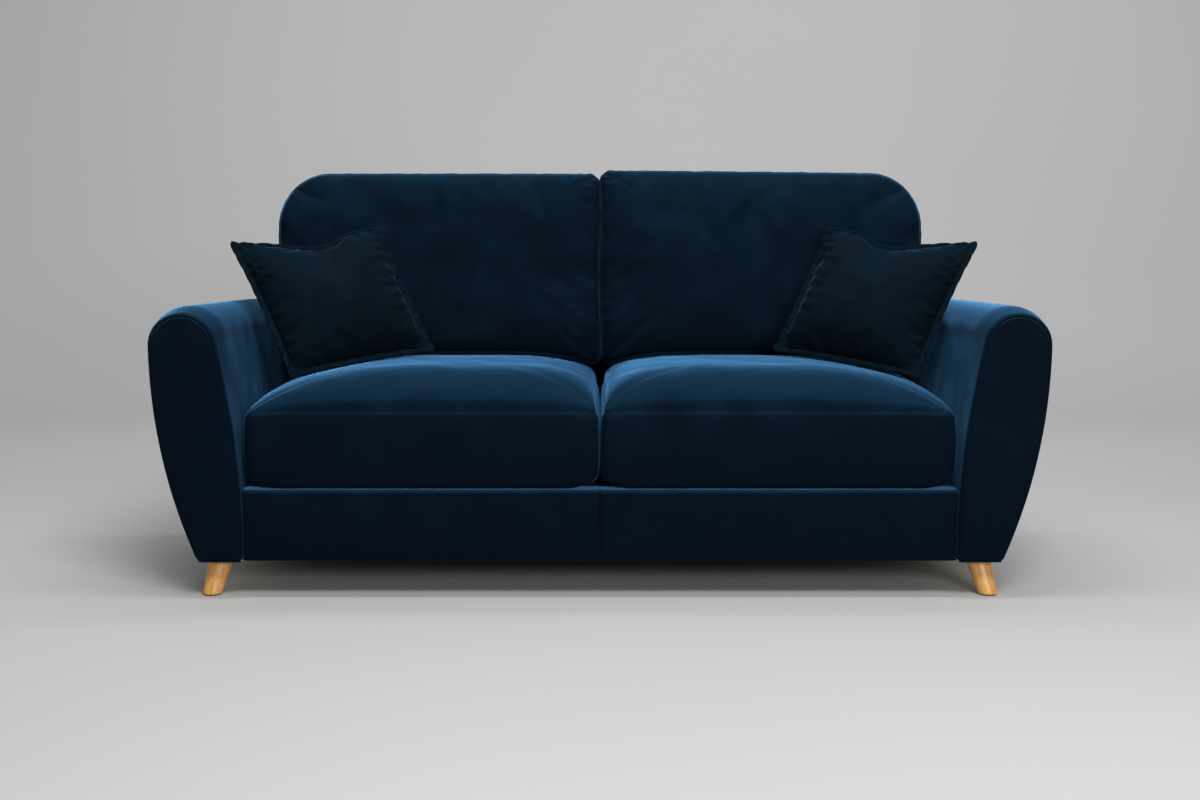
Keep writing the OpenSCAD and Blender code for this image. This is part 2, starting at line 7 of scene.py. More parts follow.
import bpy
import numpy as np
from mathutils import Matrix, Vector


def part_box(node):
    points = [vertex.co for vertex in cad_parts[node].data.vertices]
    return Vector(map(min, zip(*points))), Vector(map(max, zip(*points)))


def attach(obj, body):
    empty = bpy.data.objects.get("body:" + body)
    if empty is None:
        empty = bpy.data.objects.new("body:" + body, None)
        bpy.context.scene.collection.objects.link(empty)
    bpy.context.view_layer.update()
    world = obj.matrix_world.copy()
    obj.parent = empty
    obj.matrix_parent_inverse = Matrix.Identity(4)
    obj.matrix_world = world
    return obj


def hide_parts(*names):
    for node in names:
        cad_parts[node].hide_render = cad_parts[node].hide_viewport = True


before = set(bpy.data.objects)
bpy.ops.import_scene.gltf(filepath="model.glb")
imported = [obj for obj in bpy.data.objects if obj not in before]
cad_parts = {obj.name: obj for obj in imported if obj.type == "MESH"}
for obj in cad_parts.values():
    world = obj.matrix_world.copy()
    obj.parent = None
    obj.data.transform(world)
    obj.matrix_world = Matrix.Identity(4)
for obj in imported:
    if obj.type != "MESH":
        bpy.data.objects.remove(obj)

LOG = logging.getLogger("sofa")
Array = np.ndarray
Place = tuple[float, float, float]
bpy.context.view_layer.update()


# ---------------------------------------------------------------- mesh tools

def lerp(a: Array, b: Array, t: Array) -> Array:
    """Returns a + (b - a) t."""
    return a + (b - a) * t


def smooth_step(a: float, b: float, x: Array) -> Array:
    """Returns 0 before a, 1 after b and a smooth cubic rise between them."""
    t = np.clip((np.asarray(x, float) - a) / (b - a), 0.0, 1.0)
    return t * t * (3.0 - 2.0 * t)


def swell_curve(away: Array, reach: float, power: float) -> Array:
    """Rises from 0 at an edge to 1 at the reach, upright at the edge and level at the end.

    Args:
        away: distance from the edge in metres.
        reach: where the curve levels out.
        power: 2 is a quarter ellipse, more is fuller.
    Returns:
        The height of the curve.
    """
    t = 1.0 - np.clip(away / reach, 0.0, 1.0)
    return np.clip(1.0 - t**power, 0.0, 1.0) ** (1.0 / power)


def grid_faces(index: Array, wrap_rows: bool = False, wrap_cols: bool = False) -> Array:
    """Joins a grid of vertex numbers into quads.

    Args:
        index: vertex numbers, rows by columns.
        wrap_rows: also joins the last row to the first.
        wrap_cols: also joins the last column to the first.
    Returns:
        One row of four vertex numbers per face.
    """
    if wrap_rows:
        index = np.vstack([index, index[:1]])
    if wrap_cols:
        index = np.hstack([index, index[:, :1]])
    corners = (index[:-1, :-1], index[1:, :-1], index[1:, 1:], index[:-1, 1:])
    return np.stack([c.ravel() for c in corners], axis=1)


def grid_index(points: Array) -> Array:
    """Numbers the points of a grid, rows by columns."""
    return np.arange(points.shape[0] * points.shape[1]).reshape(points.shape[:2])


def unit(vectors: Array) -> Array:
    """Returns vectors divided by their lengths."""
    return vectors / np.maximum(np.linalg.norm(vectors, axis=1, keepdims=True), 1e-9)


def rim_directions(rim: Array, axis_a: int, axis_b: int) -> Array:
    """The way out of a closed rim at each of its points, in the plane of two axes.

    The line between a point's neighbours is turned by a right angle.

    Args:
        rim: the points, anticlockwise in the plane.
        axis_a: the plane's first axis.
        axis_b: the plane's second axis.
    Returns:
        Directions of length 1, n by 2.
    """
    along = np.roll(rim, -1, axis=0) - np.roll(rim, 1, axis=0)
    return unit(np.stack([along[:, axis_b], -along[:, axis_a]], -1))


def ring_path(points: Array) -> Array:
    """Returns the distance along a closed row of points, starting at 0."""
    step = np.linalg.norm(np.roll(points, -1, axis=0) - points, axis=1)
    return np.concatenate([[0.0], np.cumsum(step)[:-1]])


def ripple(x: Array, y: Array, seed: int, size: float, octaves: int = 3) -> Array:
    """Smooth random waves between about -1 and 1: sums of sines with seeded directions and phases.

    Args:
        x: first coordinate in metres.
        y: second coordinate in metres.
        seed: fixes the waves.
        size: wavelength of the first octave in metres.
        octaves: how many halvings of the wavelength are added.
    Returns:
        The height of the waves at each point.
    """
    rng = np.random.default_rng(seed)
    total = np.zeros(np.broadcast(x, y).shape)
    for octave in range(octaves):
        k = 2.0 * math.pi / (size / 2.0**octave)
        for angle, phase in zip(rng.uniform(0, math.pi, 5), rng.uniform(0, 2 * math.pi, 5)):
            total = total + np.sin(k * (x * math.cos(angle) + y * math.sin(angle)) + phase) / 2.0**octave
    return total / 5.0


def build_mesh(name: str, points: Array, faces: Array) -> bpy.types.Object:
    """Makes a smooth-shaded object at the origin from points and quads.

    Args:
        name: the object's name.
        points: vertices, n by 3, in metres.
        faces: quads, m by 4; a triangle repeats its last number.
    Returns:
        The new object, linked to the scene.
    """
    mesh = bpy.data.meshes.new(name)
    points = np.ascontiguousarray(points.reshape(-1, 3), dtype=np.float32)
    faces = np.ascontiguousarray(faces, dtype=np.int32)
    mesh.vertices.add(len(points))
    mesh.vertices.foreach_set("co", points.ravel())
    mesh.loops.add(faces.size)
    mesh.loops.foreach_set("vertex_index", faces.ravel())
    mesh.polygons.add(len(faces))
    mesh.polygons.foreach_set("loop_start", np.arange(0, faces.size, 4, dtype=np.int32))
    mesh.update(calc_edges=True)
    mesh.validate()
    mesh.polygons.foreach_set("use_smooth", np.ones(len(mesh.polygons), dtype=bool))
    obj = bpy.data.objects.new(name, mesh)
    bpy.context.scene.collection.objects.link(obj)
    return obj


def subdivide(obj: bpy.types.Object, levels: int = 1) -> None:
    """Finishes a piece with a subdivision surface."""
    mod = obj.modifiers.new("round", "SUBSURF")
    mod.levels = mod.render_levels = levels


def read_points(obj: bpy.types.Object) -> Array:
    """Returns an object's vertices as an n by 3 array."""
    flat = np.empty(len(obj.data.vertices) * 3, dtype=np.float32)
    obj.data.vertices.foreach_get("co", flat)
    return flat.reshape(-1, 3).astype(float)


def tube(name: str, path: Array, radius: float, closed: bool, sides: int = 6) -> bpy.types.Object:
    """A round bar along a path: a circle of the radius square to the path at each point.

    Args:
        name: the object's name.
        path: the points the middle follows.
        radius: in metres.
        closed: the last point joins the first.
        sides: how many sides the circle has.
    Returns:
        The new object.
    """
    if closed:
        along = np.roll(path, -1, axis=0) - np.roll(path, 1, axis=0)
    else:
        along = np.gradient(path, axis=0)
    along /= np.linalg.norm(along, axis=1, keepdims=True) + 1e-12
    lift = np.where(np.abs(along[:, 1:2]) > 0.9, [[1.0, 0.0, 0.0]], [[0.0, 1.0, 0.0]])
    side = np.cross(along, lift)
    side /= np.linalg.norm(side, axis=1, keepdims=True)
    other = np.cross(along, side)
    angle = np.linspace(0, 2 * math.pi, sides, endpoint=False)
    cos, sin = np.cos(angle)[None, :, None], np.sin(angle)[None, :, None]
    ring = side[:, None, :] * cos + other[:, None, :] * sin
    points = path[:, None, :] + radius * ring
    index = np.arange(len(path) * sides).reshape(len(path), sides)
    faces = grid_faces(index, wrap_rows=closed, wrap_cols=True)[:, ::-1]
    if not closed:
        ends = np.array([path[0], path[-1]])
        first, last = len(path) * sides, len(path) * sides + 1
        turn = np.roll(index[0], -1), np.roll(index[-1], -1)
        cap0 = np.stack([np.full(sides, first), index[0], turn[0], turn[0]], axis=1)
        cap1 = np.stack([np.full(sides, last), turn[1], index[-1], index[-1]], axis=1)
        points = np.vstack([points.reshape(-1, 3), ends])
        tri = np.vstack([cap0, cap1])
        return build_mixed(name, points, faces, tri[:, :3])
    return build_mesh(name, points, faces)


def build_mixed(name: str, points: Array, quads: Array, tris: Array) -> bpy.types.Object:
    """Makes a smooth-shaded object from quads and triangles together.

    Args:
        name: the object's name.
        points: vertices in metres.
        quads: faces with four numbers.
        tris: faces with three numbers.
    Returns:
        The new object.
    """
    mesh = bpy.data.meshes.new(name)
    mesh.from_pydata(points.reshape(-1, 3).tolist(), [], quads.tolist() + tris.tolist())
    mesh.update()
    mesh.polygons.foreach_set("use_smooth", np.ones(len(mesh.polygons), dtype=bool))
    obj = bpy.data.objects.new(name, mesh)
    bpy.context.scene.collection.objects.link(obj)
    return obj


# ---------------------------------------------------------------- finishes

def linear(code: str) -> tuple[float, float, float, float]:
    """Turns an sRGB hex colour such as '1b2a3c' into linear light with full alpha."""
    parts = [int(code[i:i + 2], 16) / 255.0 for i in (0, 2, 4)]
    return (*[c / 12.92 if c <= 0.04045 else ((c + 0.055) / 1.055) ** 2.4 for c in parts], 1.0)


def add_node(mat: bpy.types.Material, kind: str, settings: dict | None = None,
             links: dict | None = None) -> bpy.types.Node:
    """Adds a node with its settings and links.

    Args:
        mat: the material that gets the node.
        kind: the node's type name.
        settings: values by attribute name or input name.
        links: input name to (node, output name).
    Returns:
        The new node.
    """
    node = mat.node_tree.nodes.new(kind)
    for key, value in (settings or {}).items():
        if isinstance(key, str) and hasattr(node, key):
            setattr(node, key, value)
        else:
            node.inputs[key].default_value = value
    for key, (source, output) in (links or {}).items():
        mat.node_tree.links.new(source.outputs[output], node.inputs[key])
    return node


@dataclass(frozen=True)
class Finish:
    """What every finish shares: a base colour, a second colour and a roughness."""

    name: str
    colour: str
    second: str
    roughness: float = 0.6
    metallic: float = 0.0

    def make(self) -> bpy.types.Material:
        """Builds the material."""
        raise NotImplementedError

    def start(self) -> tuple[bpy.types.Material, bpy.types.Node, bpy.types.Node]:
        """Makes an empty material and returns it with its Principled node and object coordinates."""
        mat = bpy.data.materials.new(self.name)
        mat.use_nodes = True
        mat.node_tree.nodes.clear()
        shader = add_node(mat, "ShaderNodeBsdfPrincipled",
                          {"Roughness": self.roughness, "Metallic": self.metallic})
        add_node(mat, "ShaderNodeOutputMaterial", links={"Surface": (shader, "BSDF")})
        coords = add_node(mat, "ShaderNodeTexCoord")
        return mat, shader, coords

    def two_tone(self, mat: bpy.types.Material, shader: bpy.types.Node, source: bpy.types.Node,
                 output: str, low: float, high: float) -> None:
        """Blends the two colours where a pattern runs from low to high."""
        ramp = add_node(mat, "ShaderNodeMapRange", {"From Min": low, "From Max": high},
                        {"Value": (source, output)})
        mix = add_node(mat, "ShaderNodeMix", {"data_type": "RGBA"}, {"Factor": (ramp, "Result")})
        mix.inputs[6].default_value = linear(self.colour)
        mix.inputs[7].default_value = linear(self.second)
        mat.node_tree.links.new(mix.outputs[2], shader.inputs["Base Color"])

    def bump(self, mat: bpy.types.Material, shader: bpy.types.Node, source: bpy.types.Node,
             output: str, depth: float, strength: float) -> None:
        """Raises the surface by a pattern, depth in metres."""
        node = add_node(mat, "ShaderNodeBump", {"Strength": strength, "Distance": depth},
                        {"Height": (source, output)})
        mat.node_tree.links.new(node.outputs["Normal"], shader.inputs["Normal"])


def per_metre(size_mm: float) -> float:
    """Turns a real pattern size in millimetres into a texture scale."""
    return 1000.0 / size_mm


WAVE_SCALE = 1 / 20.0 * 6.0  # a wave texture's scale over its repeats in a metre


@dataclass(frozen=True)
class CottonVelvet(Finish):
    """Cotton velvet, woven and cut: nearly black face on, with a painted blue sheen on what faces upwards.

    Painted light: where the normal points up, the colour turns lighter and the sheen stronger, so upper
    sides look lit and upright ones stay dark. Where it turns is uneven, in soft patches a hand's breadth
    across. Its tufts are drawn about 2 mm wide.
    """

    sheen_tint: str = "64b0f0"
    # Painted sheen weight: on upright faces, and on faces that point up.
    sheen_upright: float = 0.20
    sheen_upper: float = 0.95
    sheen_roughness: float = 0.28
    patch_mm: float = 120.0
    patch_share: float = 0.7
    # Where the painted light starts and where it is full, on the upward slope plus the patches.
    lies_from: float = 0.30
    painted_light_to: float = 1.36
    mark_mm: float = 34.0
    tuft_mm: float = 2.0

    def make(self) -> bpy.types.Material:
        """Builds the material: the normal's slope with random patches paints a lighter colour and more sheen
        on upward faces; tufts roughen it.
        """
        mat, shader, coords = self.start()
        shader.inputs["Sheen Roughness"].default_value = self.sheen_roughness
        shader.inputs["Sheen Tint"].default_value = linear(self.sheen_tint)
        shader.inputs["Specular IOR Level"].default_value = 0.03
        patches = add_node(mat, "ShaderNodeTexNoise",
                           {"Scale": per_metre(self.patch_mm), "Detail": 4.0, "Distortion": 0.8},
                           {"Vector": (coords, "Object")})
        marks = add_node(mat, "ShaderNodeTexNoise",
                         {"Scale": per_metre(self.mark_mm), "Detail": 4.0, "Distortion": 1.0},
                         {"Vector": (coords, "Object")})
        # Painted light: the normal's upward part, made uneven by random patches, lightens the colour and
        # raises the sheen.
        slope = add_node(mat, "ShaderNodeSeparateXYZ", links={"Vector": (coords, "Normal")})
        uneven = add_node(mat, "ShaderNodeMath", {"operation": "MULTIPLY_ADD", 1: self.patch_share},
                          {0: (patches, "Fac"), 2: (slope, "Z")})
        upward_light_and_patches = add_node(mat, "ShaderNodeMapRange",
                       {"interpolation_type": "SMOOTHSTEP",
                        "From Min": self.lies_from, "From Max": self.painted_light_to},
                       {"Value": (uneven, "Value")})
        self.two_tone(mat, shader, upward_light_and_patches, "Result", 0.0, 1.0)
        # Painted sheen: strong on upward faces, weak on upright ones.
        sheen = add_node(mat, "ShaderNodeMapRange",
                         {"To Min": self.sheen_upright, "To Max": self.sheen_upper},
                         {"Value": (upward_light_and_patches, "Result")})
        mat.node_tree.links.new(sheen.outputs["Result"], shader.inputs["Sheen Weight"])
        rough = add_node(mat, "ShaderNodeMapRange",
                         {"To Min": self.roughness - 0.1, "To Max": self.roughness + 0.1},
                         {"Value": (marks, "Fac")})
        mat.node_tree.links.new(rough.outputs["Result"], shader.inputs["Roughness"])
        tufts = add_node(mat, "ShaderNodeTexNoise",
                         {"Scale": per_metre(self.tuft_mm), "Detail": 2.0}, {"Vector": (coords, "Object")})
        nap = add_node(mat, "ShaderNodeMath", {"operation": "MULTIPLY_ADD", 1: 4.0},
                       {0: (marks, "Fac"), 2: (tufts, "Fac")})
        self.bump(mat, shader, nap, "Value", 0.0005, 0.3)
        return mat


@dataclass(frozen=True)
class TurnedBeech(Finish):
    """Beech, turned and clear lacquered: pale honey wood with fine darker grain along the leg."""

    grain_mm: float = 5.0
    stretch: float = 14.0
    fleck_mm: float = 1.2

    def make(self) -> bpy.types.Material:
        """Builds the material from long thin noise in the leg's own coordinates."""
        mat, shader, _ = self.start()
        own = add_node(mat, "ShaderNodeAttribute", {"attribute_name": "leg_space"})
        squeeze = add_node(mat, "ShaderNodeMapping", {"Scale": (1.0, 1.0, 1.0 / self.stretch)},
                           {"Vector": (own, "Vector")})
        grain = add_node(mat, "ShaderNodeTexNoise",
                         {"Scale": per_metre(self.grain_mm), "Detail": 6.0, "Distortion": 0.6},
                         {"Vector": (squeeze, "Vector")})
        fleck = add_node(mat, "ShaderNodeTexNoise",
                         {"Scale": per_metre(self.fleck_mm), "Detail": 2.0}, {"Vector": (squeeze, "Vector")})
        both = add_node(mat, "ShaderNodeMath", {"operation": "MULTIPLY_ADD", 1: 0.35},
                        {0: (fleck, "Fac"), 2: (grain, "Fac")})
        self.two_tone(mat, shader, both, "Value", 0.5, 0.95)
        self.bump(mat, shader, grain, "Fac", 0.0002, 0.3)
        shader.inputs["Coat Weight"].default_value = 0.35
        shader.inputs["Coat Roughness"].default_value = 0.25
        return mat


@dataclass(frozen=True)
class GrainedTimber(Finish):
    """Sawn timber or plywood: long grain along X, Y or Z and a dry, slightly rough face."""

    squeeze: tuple[float, float, float] = (0.08, 1.0, 1.0)
    grain_mm: float = 7.0

    def make(self) -> bpy.types.Material:
        """Builds the material from noise drawn out along the grain."""
        mat, shader, coords = self.start()
        long = add_node(mat, "ShaderNodeMapping", {"Scale": self.squeeze}, {"Vector": (coords, "Object")})
        grain = add_node(mat, "ShaderNodeTexNoise",
                         {"Scale": per_metre(self.grain_mm), "Detail": 6.0, "Distortion": 1.0},
                         {"Vector": (long, "Vector")})
        self.two_tone(mat, shader, grain, "Fac", 0.35, 0.7)
        self.bump(mat, shader, grain, "Fac", 0.0004, 0.5)
        return mat


@dataclass(frozen=True)
class SpringSteel(Finish):
    """Drawn or zinc-plated steel: grey metal with faint streaks."""

    streak_mm: float = 2.0

    def make(self) -> bpy.types.Material:
        """Builds the material from fine noise in roughness and tone."""
        mat, shader, coords = self.start()
        streaks = add_node(mat, "ShaderNodeTexNoise",
                           {"Scale": per_metre(self.streak_mm), "Detail": 3.0},
                           {"Vector": (coords, "Object")})
        self.two_tone(mat, shader, streaks, "Fac", 0.3, 0.7)
        rough = add_node(mat, "ShaderNodeMapRange",
                         {"To Min": self.roughness - 0.1, "To Max": self.roughness + 0.15},
                         {"Value": (streaks, "Fac")})
        mat.node_tree.links.new(rough.outputs["Result"], shader.inputs["Roughness"])
        return mat


@dataclass(frozen=True)
class CellFoam(Finish):
    """Polyurethane foam or fibre filling: matt, with open cells or tufts."""

    cell_mm: float = 2.5

    def make(self) -> bpy.types.Material:
        """Builds the material from small round cells."""
        mat, shader, coords = self.start()
        cells = add_node(mat, "ShaderNodeTexVoronoi", {"Scale": per_metre(self.cell_mm)},
                         {"Vector": (coords, "Object")})
        self.two_tone(mat, shader, cells, "Distance", 0.1, 0.6)
        self.bump(mat, shader, cells, "Distance", 0.0008, 0.6)
        return mat


@dataclass(frozen=True)
class WovenTape(Finish):
    """Woven tape, webbing, felt or spun cloth: two crossed sets of threads."""

    thread_mm: float = 1.6

    def make(self) -> bpy.types.Material:
        """Builds the material from two crossed waves, one for each set of threads."""
        mat, shader, coords = self.start()
        waves = [add_node(mat, "ShaderNodeTexWave",
                          {"bands_direction": axis, "Scale": per_metre(self.thread_mm) * WAVE_SCALE,
                           "Distortion": 1.2, "Detail": 2.0},
                          {"Vector": (coords, "Object")}) for axis in ("X", "Y")]
        cross = add_node(mat, "ShaderNodeMath", {"operation": "MULTIPLY"},
                         {0: (waves[0], "Fac"), 1: (waves[1], "Fac")})
        self.two_tone(mat, shader, cross, "Value", 0.0, 0.7)
        self.bump(mat, shader, cross, "Value", 0.0003, 0.5)
        return mat


@dataclass(frozen=True)
class StudioPaper(Finish):
    """Matt studio background paper: one pale grey with the faintest tooth."""

    def make(self) -> bpy.types.Material:
        """Builds the material from very soft, large noise."""
        mat, shader, coords = self.start()
        shader.inputs["Specular IOR Level"].default_value = 0.1
        soft = add_node(mat, "ShaderNodeTexNoise", {"Scale": 0.6, "Detail": 1.0},
                        {"Vector": (coords, "Object")})
        self.two_tone(mat, shader, soft, "Fac", 0.2, 0.8)
        return mat


# The second colour is the painted lighter colour of upward faces.
VELVET = CottonVelvet("cotton_velvet_navy", "030c16", "0a2133", roughness=0.9)
# A darker copy of the velvet with less painted sheen, for the scatter cushions: painted shade.
SHADED_VELVET = CottonVelvet("cotton_velvet_navy_brushed_down", "02080e", "06151f", roughness=0.9,
                              sheen_upright=0.12, sheen_upper=0.42)
# The seam cords are real, but their darker copy of the velvet with little sheen is painted shade in the seam
# grooves.
SHADED_SEAM = CottonVelvet("cotton_velvet_seam", "03070b", "060e16", roughness=0.9,
                    sheen_upright=0.04, sheen_upper=0.2)
BEECH = TurnedBeech("beech_turned_and_lacquered", "d09c56", "ac763c", roughness=0.38)
PINE = GrainedTimber("pine_sawn", "c9a679", "a97f50", roughness=0.75)
PLY = GrainedTimber("birch_plywood", "d2b48a", "b8935f", roughness=0.7, squeeze=(1.0, 0.12, 1.0))
STEEL = SpringSteel("zinc_plated_steel", "a9abad", "8a8c8f", roughness=0.35, metallic=1.0)
WIRE = SpringSteel("drawn_spring_steel", "55575a", "3c3e41", roughness=0.4, metallic=1.0)
FOAM = CellFoam("polyurethane_foam", "e8ddb4", "d3c38f", roughness=0.95)
FIBRE = CellFoam("hollow_fibre_filling", "eeeeea", "d8d8d2", roughness=0.95, cell_mm=6.0)
WEBBING = WovenTape("elastic_webbing", "1c1c1e", "303033", roughness=0.85, thread_mm=2.0)
PLATFORM = WovenTape("platform_cloth", "1a1d22", "2a2e35", roughness=0.95, thread_mm=1.5)
SPUN = WovenTape("spun_bonded_black", "0d0d0e", "19191b", roughness=0.95, thread_mm=1.2)
FELT = WovenTape("wool_felt", "5a4534", "3f3025", roughness=1.0, thread_mm=1.0)
ZIP_TAPE = WovenTape("zip_tape", "08101c", "121d2e", roughness=0.8, thread_mm=1.0)
PAPER = StudioPaper("studio_paper", "bababa", "b6b6b6", roughness=1.0)


class Wardrobe:
    """Makes each finish once and dresses pieces in it."""

    def __init__(self) -> None:
        """Starts with no material made."""
        self.made: dict[str, bpy.types.Material] = {}

    def get(self, finish: Finish) -> bpy.types.Material:
        """Returns the finish's material, made the first time it is asked for."""
        if finish.name not in self.made:
            self.made[finish.name] = finish.make()
        return self.made[finish.name]

    def dress(self, obj: bpy.types.Object, finish: Finish) -> None:
        """Gives a piece one finish all over."""
        obj.data.materials.clear()
        obj.data.materials.append(self.get(finish))

    def dress_cad(self, node: str, finish: Finish) -> None:
        """Gives a carried-over node a finish in its object's slots."""
        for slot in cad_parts[node].material_slots:
            slot.material = self.get(finish)


WARDROBE = Wardrobe()


def place(obj: bpy.types.Object, finish: Finish, body: str, slot: str, *nodes: str) -> None:
    """Dresses a piece and ties it to the frame.

    Args:
        obj: the finished piece.
        finish: what it is made of.
        body: the body that it rides on.
        slot: the record's material slot; not used.
        nodes: the nodes it stands for.
    """
    WARDROBE.dress(obj, finish)
    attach(obj, body)
    if nodes:
        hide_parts(*nodes)
    LOG.info("%s: %d faces on %s", obj.name, len(obj.data.polygons), body)


class Side(Enum):
    """The two halves of the sofa, as the sign of X."""

    LEFT = -1
    RIGHT = 1

    @property
    def word(self) -> str:
        """The half's name in piece names."""
        return self.name.lower()

    def mirror(self, points: Array) -> Array:
        """Returns points drawn for the right half, moved to this half."""
        return points * np.array([float(self.value), 1.0, 1.0])

    def turn(self, faces: Array) -> Array:
        """Returns faces drawn for the right half, still facing outwards on this half."""
        return faces if self is Side.RIGHT else faces[:, ::-1]


# ---------------------------------------------------------------- cushions

@dataclass
class CushionNet:
    """The net of a cushion: a grid on each main face and rings of border between them.

    A knife-edged cushion has no border, and its two faces share their rim.
    """

    rows: int
    cols: int
    rings: int
    crowd: float = 0.55
    top: Array = field(init=False)
    bottom: Array = field(init=False)
    border: Array = field(init=False)
    faces: Array = field(init=False)
    count: int = field(init=False)

    def __post_init__(self) -> None:
        """Numbers the vertices and joins them into quads that face outwards."""
        n = self.rows * self.cols
        self.top = np.arange(n).reshape(self.rows, self.cols)
        self.bottom = self.top + n
        rim = self.rim(self.top)
        if self.rings == 0:
            keep = self.bottom.copy()
            low = self.rim(self.bottom)
            swap = dict(zip(low.tolist(), rim.tolist()))
            order = [i for i in keep.ravel().tolist() if i not in swap]
            number = {old: n + k for k, old in enumerate(order)}
            number.update(swap)
            self.bottom = np.array([number[i] for i in keep.ravel().tolist()]).reshape(keep.shape)
            self.count = n + len(order)
            self.border = np.stack([rim])
            side = np.empty((0, 4), int)
        else:
            inner = 2 * n + np.arange((self.rings - 1) * len(rim)).reshape(self.rings - 1, len(rim))
            self.border = np.vstack([rim[None], inner, self.rim(self.bottom)[None]])
            self.count = 2 * n + inner.size
            side = grid_faces(self.border, wrap_cols=True)
        self.faces = np.vstack([grid_faces(self.top), grid_faces(self.bottom)[:, ::-1], side])

    @staticmethod
    def rim(index: Array) -> Array:
        """Returns the numbers round the edge of a grid, anticlockwise from its first corner."""
        return np.concatenate([index[:, 0], index[-1, 1:], index[-2::-1, -1], index[0, -2:0:-1]])

    def spread(self) -> tuple[Array, Array]:
        """Returns u and v from -1 to 1 over a face, with lines crowded towards the edges."""
        def line(n: int) -> Array:
            """Returns n crowded places: s + crowd sin(pi s) / pi."""
            s = np.linspace(-1.0, 1.0, n)
            return s + self.crowd * np.sin(math.pi * s) / math.pi
        return np.meshgrid(line(self.rows), line(self.cols), indexing="ij")


def rounded_plan(u: Array, v: Array, half_w: float, half_d: float, radii: Array) -> tuple[Array, Array]:
    """Maps a square to a rectangle with round corners.

    Each point lies on a square ring r = max(|u|, |v|). The ring's point on the rectangle is
    clamped to the corner centres, and what is left over is brought to the corner's radius.

    Args:
        u, v: places in the square, -1 to 1.
        half_w, half_d: half sizes in metres.
        radii: corner radii for (-,-), (+,-), (-,+), (+,+).
    Returns:
        x and y in metres.
    """
    r = np.maximum(np.maximum(np.abs(u), np.abs(v)), 1e-9)
    px, py = u / r * half_w, v / r * half_d
    corner = np.where(py < 0, np.where(px < 0, radii[0], radii[1]), np.where(px < 0, radii[2], radii[3]))
    qx = np.clip(px, -(half_w - corner), half_w - corner)
    qy = np.clip(py, -(half_d - corner), half_d - corner)
    dx, dy = px - qx, py - qy
    length = np.sqrt(dx * dx + dy * dy)
    scale = np.where(length > 1e-9, corner / np.maximum(length, 1e-9), 1.0)
    return (qx + dx * scale) * r, (qy + dy * scale) * r


def neighbour_edges(faces: Array) -> Array:
    """Returns each edge of the quads once, as two vertex numbers."""
    pairs = np.vstack([faces[:, [k, (k + 1) % 4]] for k in range(4)])
    return np.unique(np.sort(pairs, axis=1), axis=0)


def blur(values: Array, edges: Array, rounds: int) -> Array:
    """Averages each point with its neighbours along the edges, the given number of rounds."""
    count = np.maximum(np.bincount(edges.ravel(), minlength=len(values)), 1).astype(float)[:, None]
    out = values.copy()
    for _ in range(rounds):
        total = np.zeros_like(out)
        for axis in range(out.shape[1]):
            total[:, axis] += np.bincount(edges[:, 0], out[edges[:, 1], axis], len(out))
            total[:, axis] += np.bincount(edges[:, 1], out[edges[:, 0], axis], len(out))
        out = 0.5 * out + 0.5 * total / count
    return out


def point_normals(points: Array, faces: Array) -> Array:
    """Returns the outward direction at each point, averaged over its faces."""
    a, b, c = (points[faces[:, k]] for k in (0, 1, 2))
    flat = np.cross(b - a, c - a)
    normal = np.zeros_like(points)
    for axis in range(3):
        for corner in range(4):
            normal[:, axis] += np.bincount(faces[:, corner], flat[:, axis], len(points))
    return normal / np.maximum(np.linalg.norm(normal, axis=1, keepdims=True), 1e-12)


def nearest(points: Array, path: Array) -> tuple[Array, Array]:
    """Returns each point's distance to the nearest point of a path, and that point's number."""
    away, where = np.empty(len(points)), np.empty(len(points), int)
    for start in range(0, len(points), 4000):
        block = points[start:start + 4000]
        gaps = np.linalg.norm(block[:, None, :] - path[None], axis=2)
        away[start:start + 4000] = gaps.min(axis=1)
        where[start:start + 4000] = gaps.argmin(axis=1)
    return away, where


@dataclass
class Gather:
    """Puckers beside a seam: uneven waves along it that die away into the open cloth."""

    pitch: float = 0.028
    height: float = 0.0014
    reach: float = 0.024
    seed: int = 1

    def lift(self, points: Array, seam: Array) -> Array:
        """Returns how far each point rises: a sine along the seam times a fading distance.

        Args:
            points: the points of the cover.
            seam: the closed path of the seam.
        Returns:
            Heights in metres, 0 on the seam itself.
        """
        away, where = nearest(points, seam)
        place_on = ring_path(seam)[where]
        drift = ripple(place_on, np.zeros_like(place_on), self.seed, 0.19, 3)
        uneven = ripple(place_on, np.ones_like(place_on), self.seed + 7, 0.35, 2)
        strength = np.clip(0.55 + 0.9 * uneven, 0.05, 1.4)
        wave = np.sin(2 * math.pi * place_on / self.pitch + 4.0 * drift)
        return self.height * strength * wave * np.exp(-away / self.reach) * (1 - np.exp(-away / 0.004))


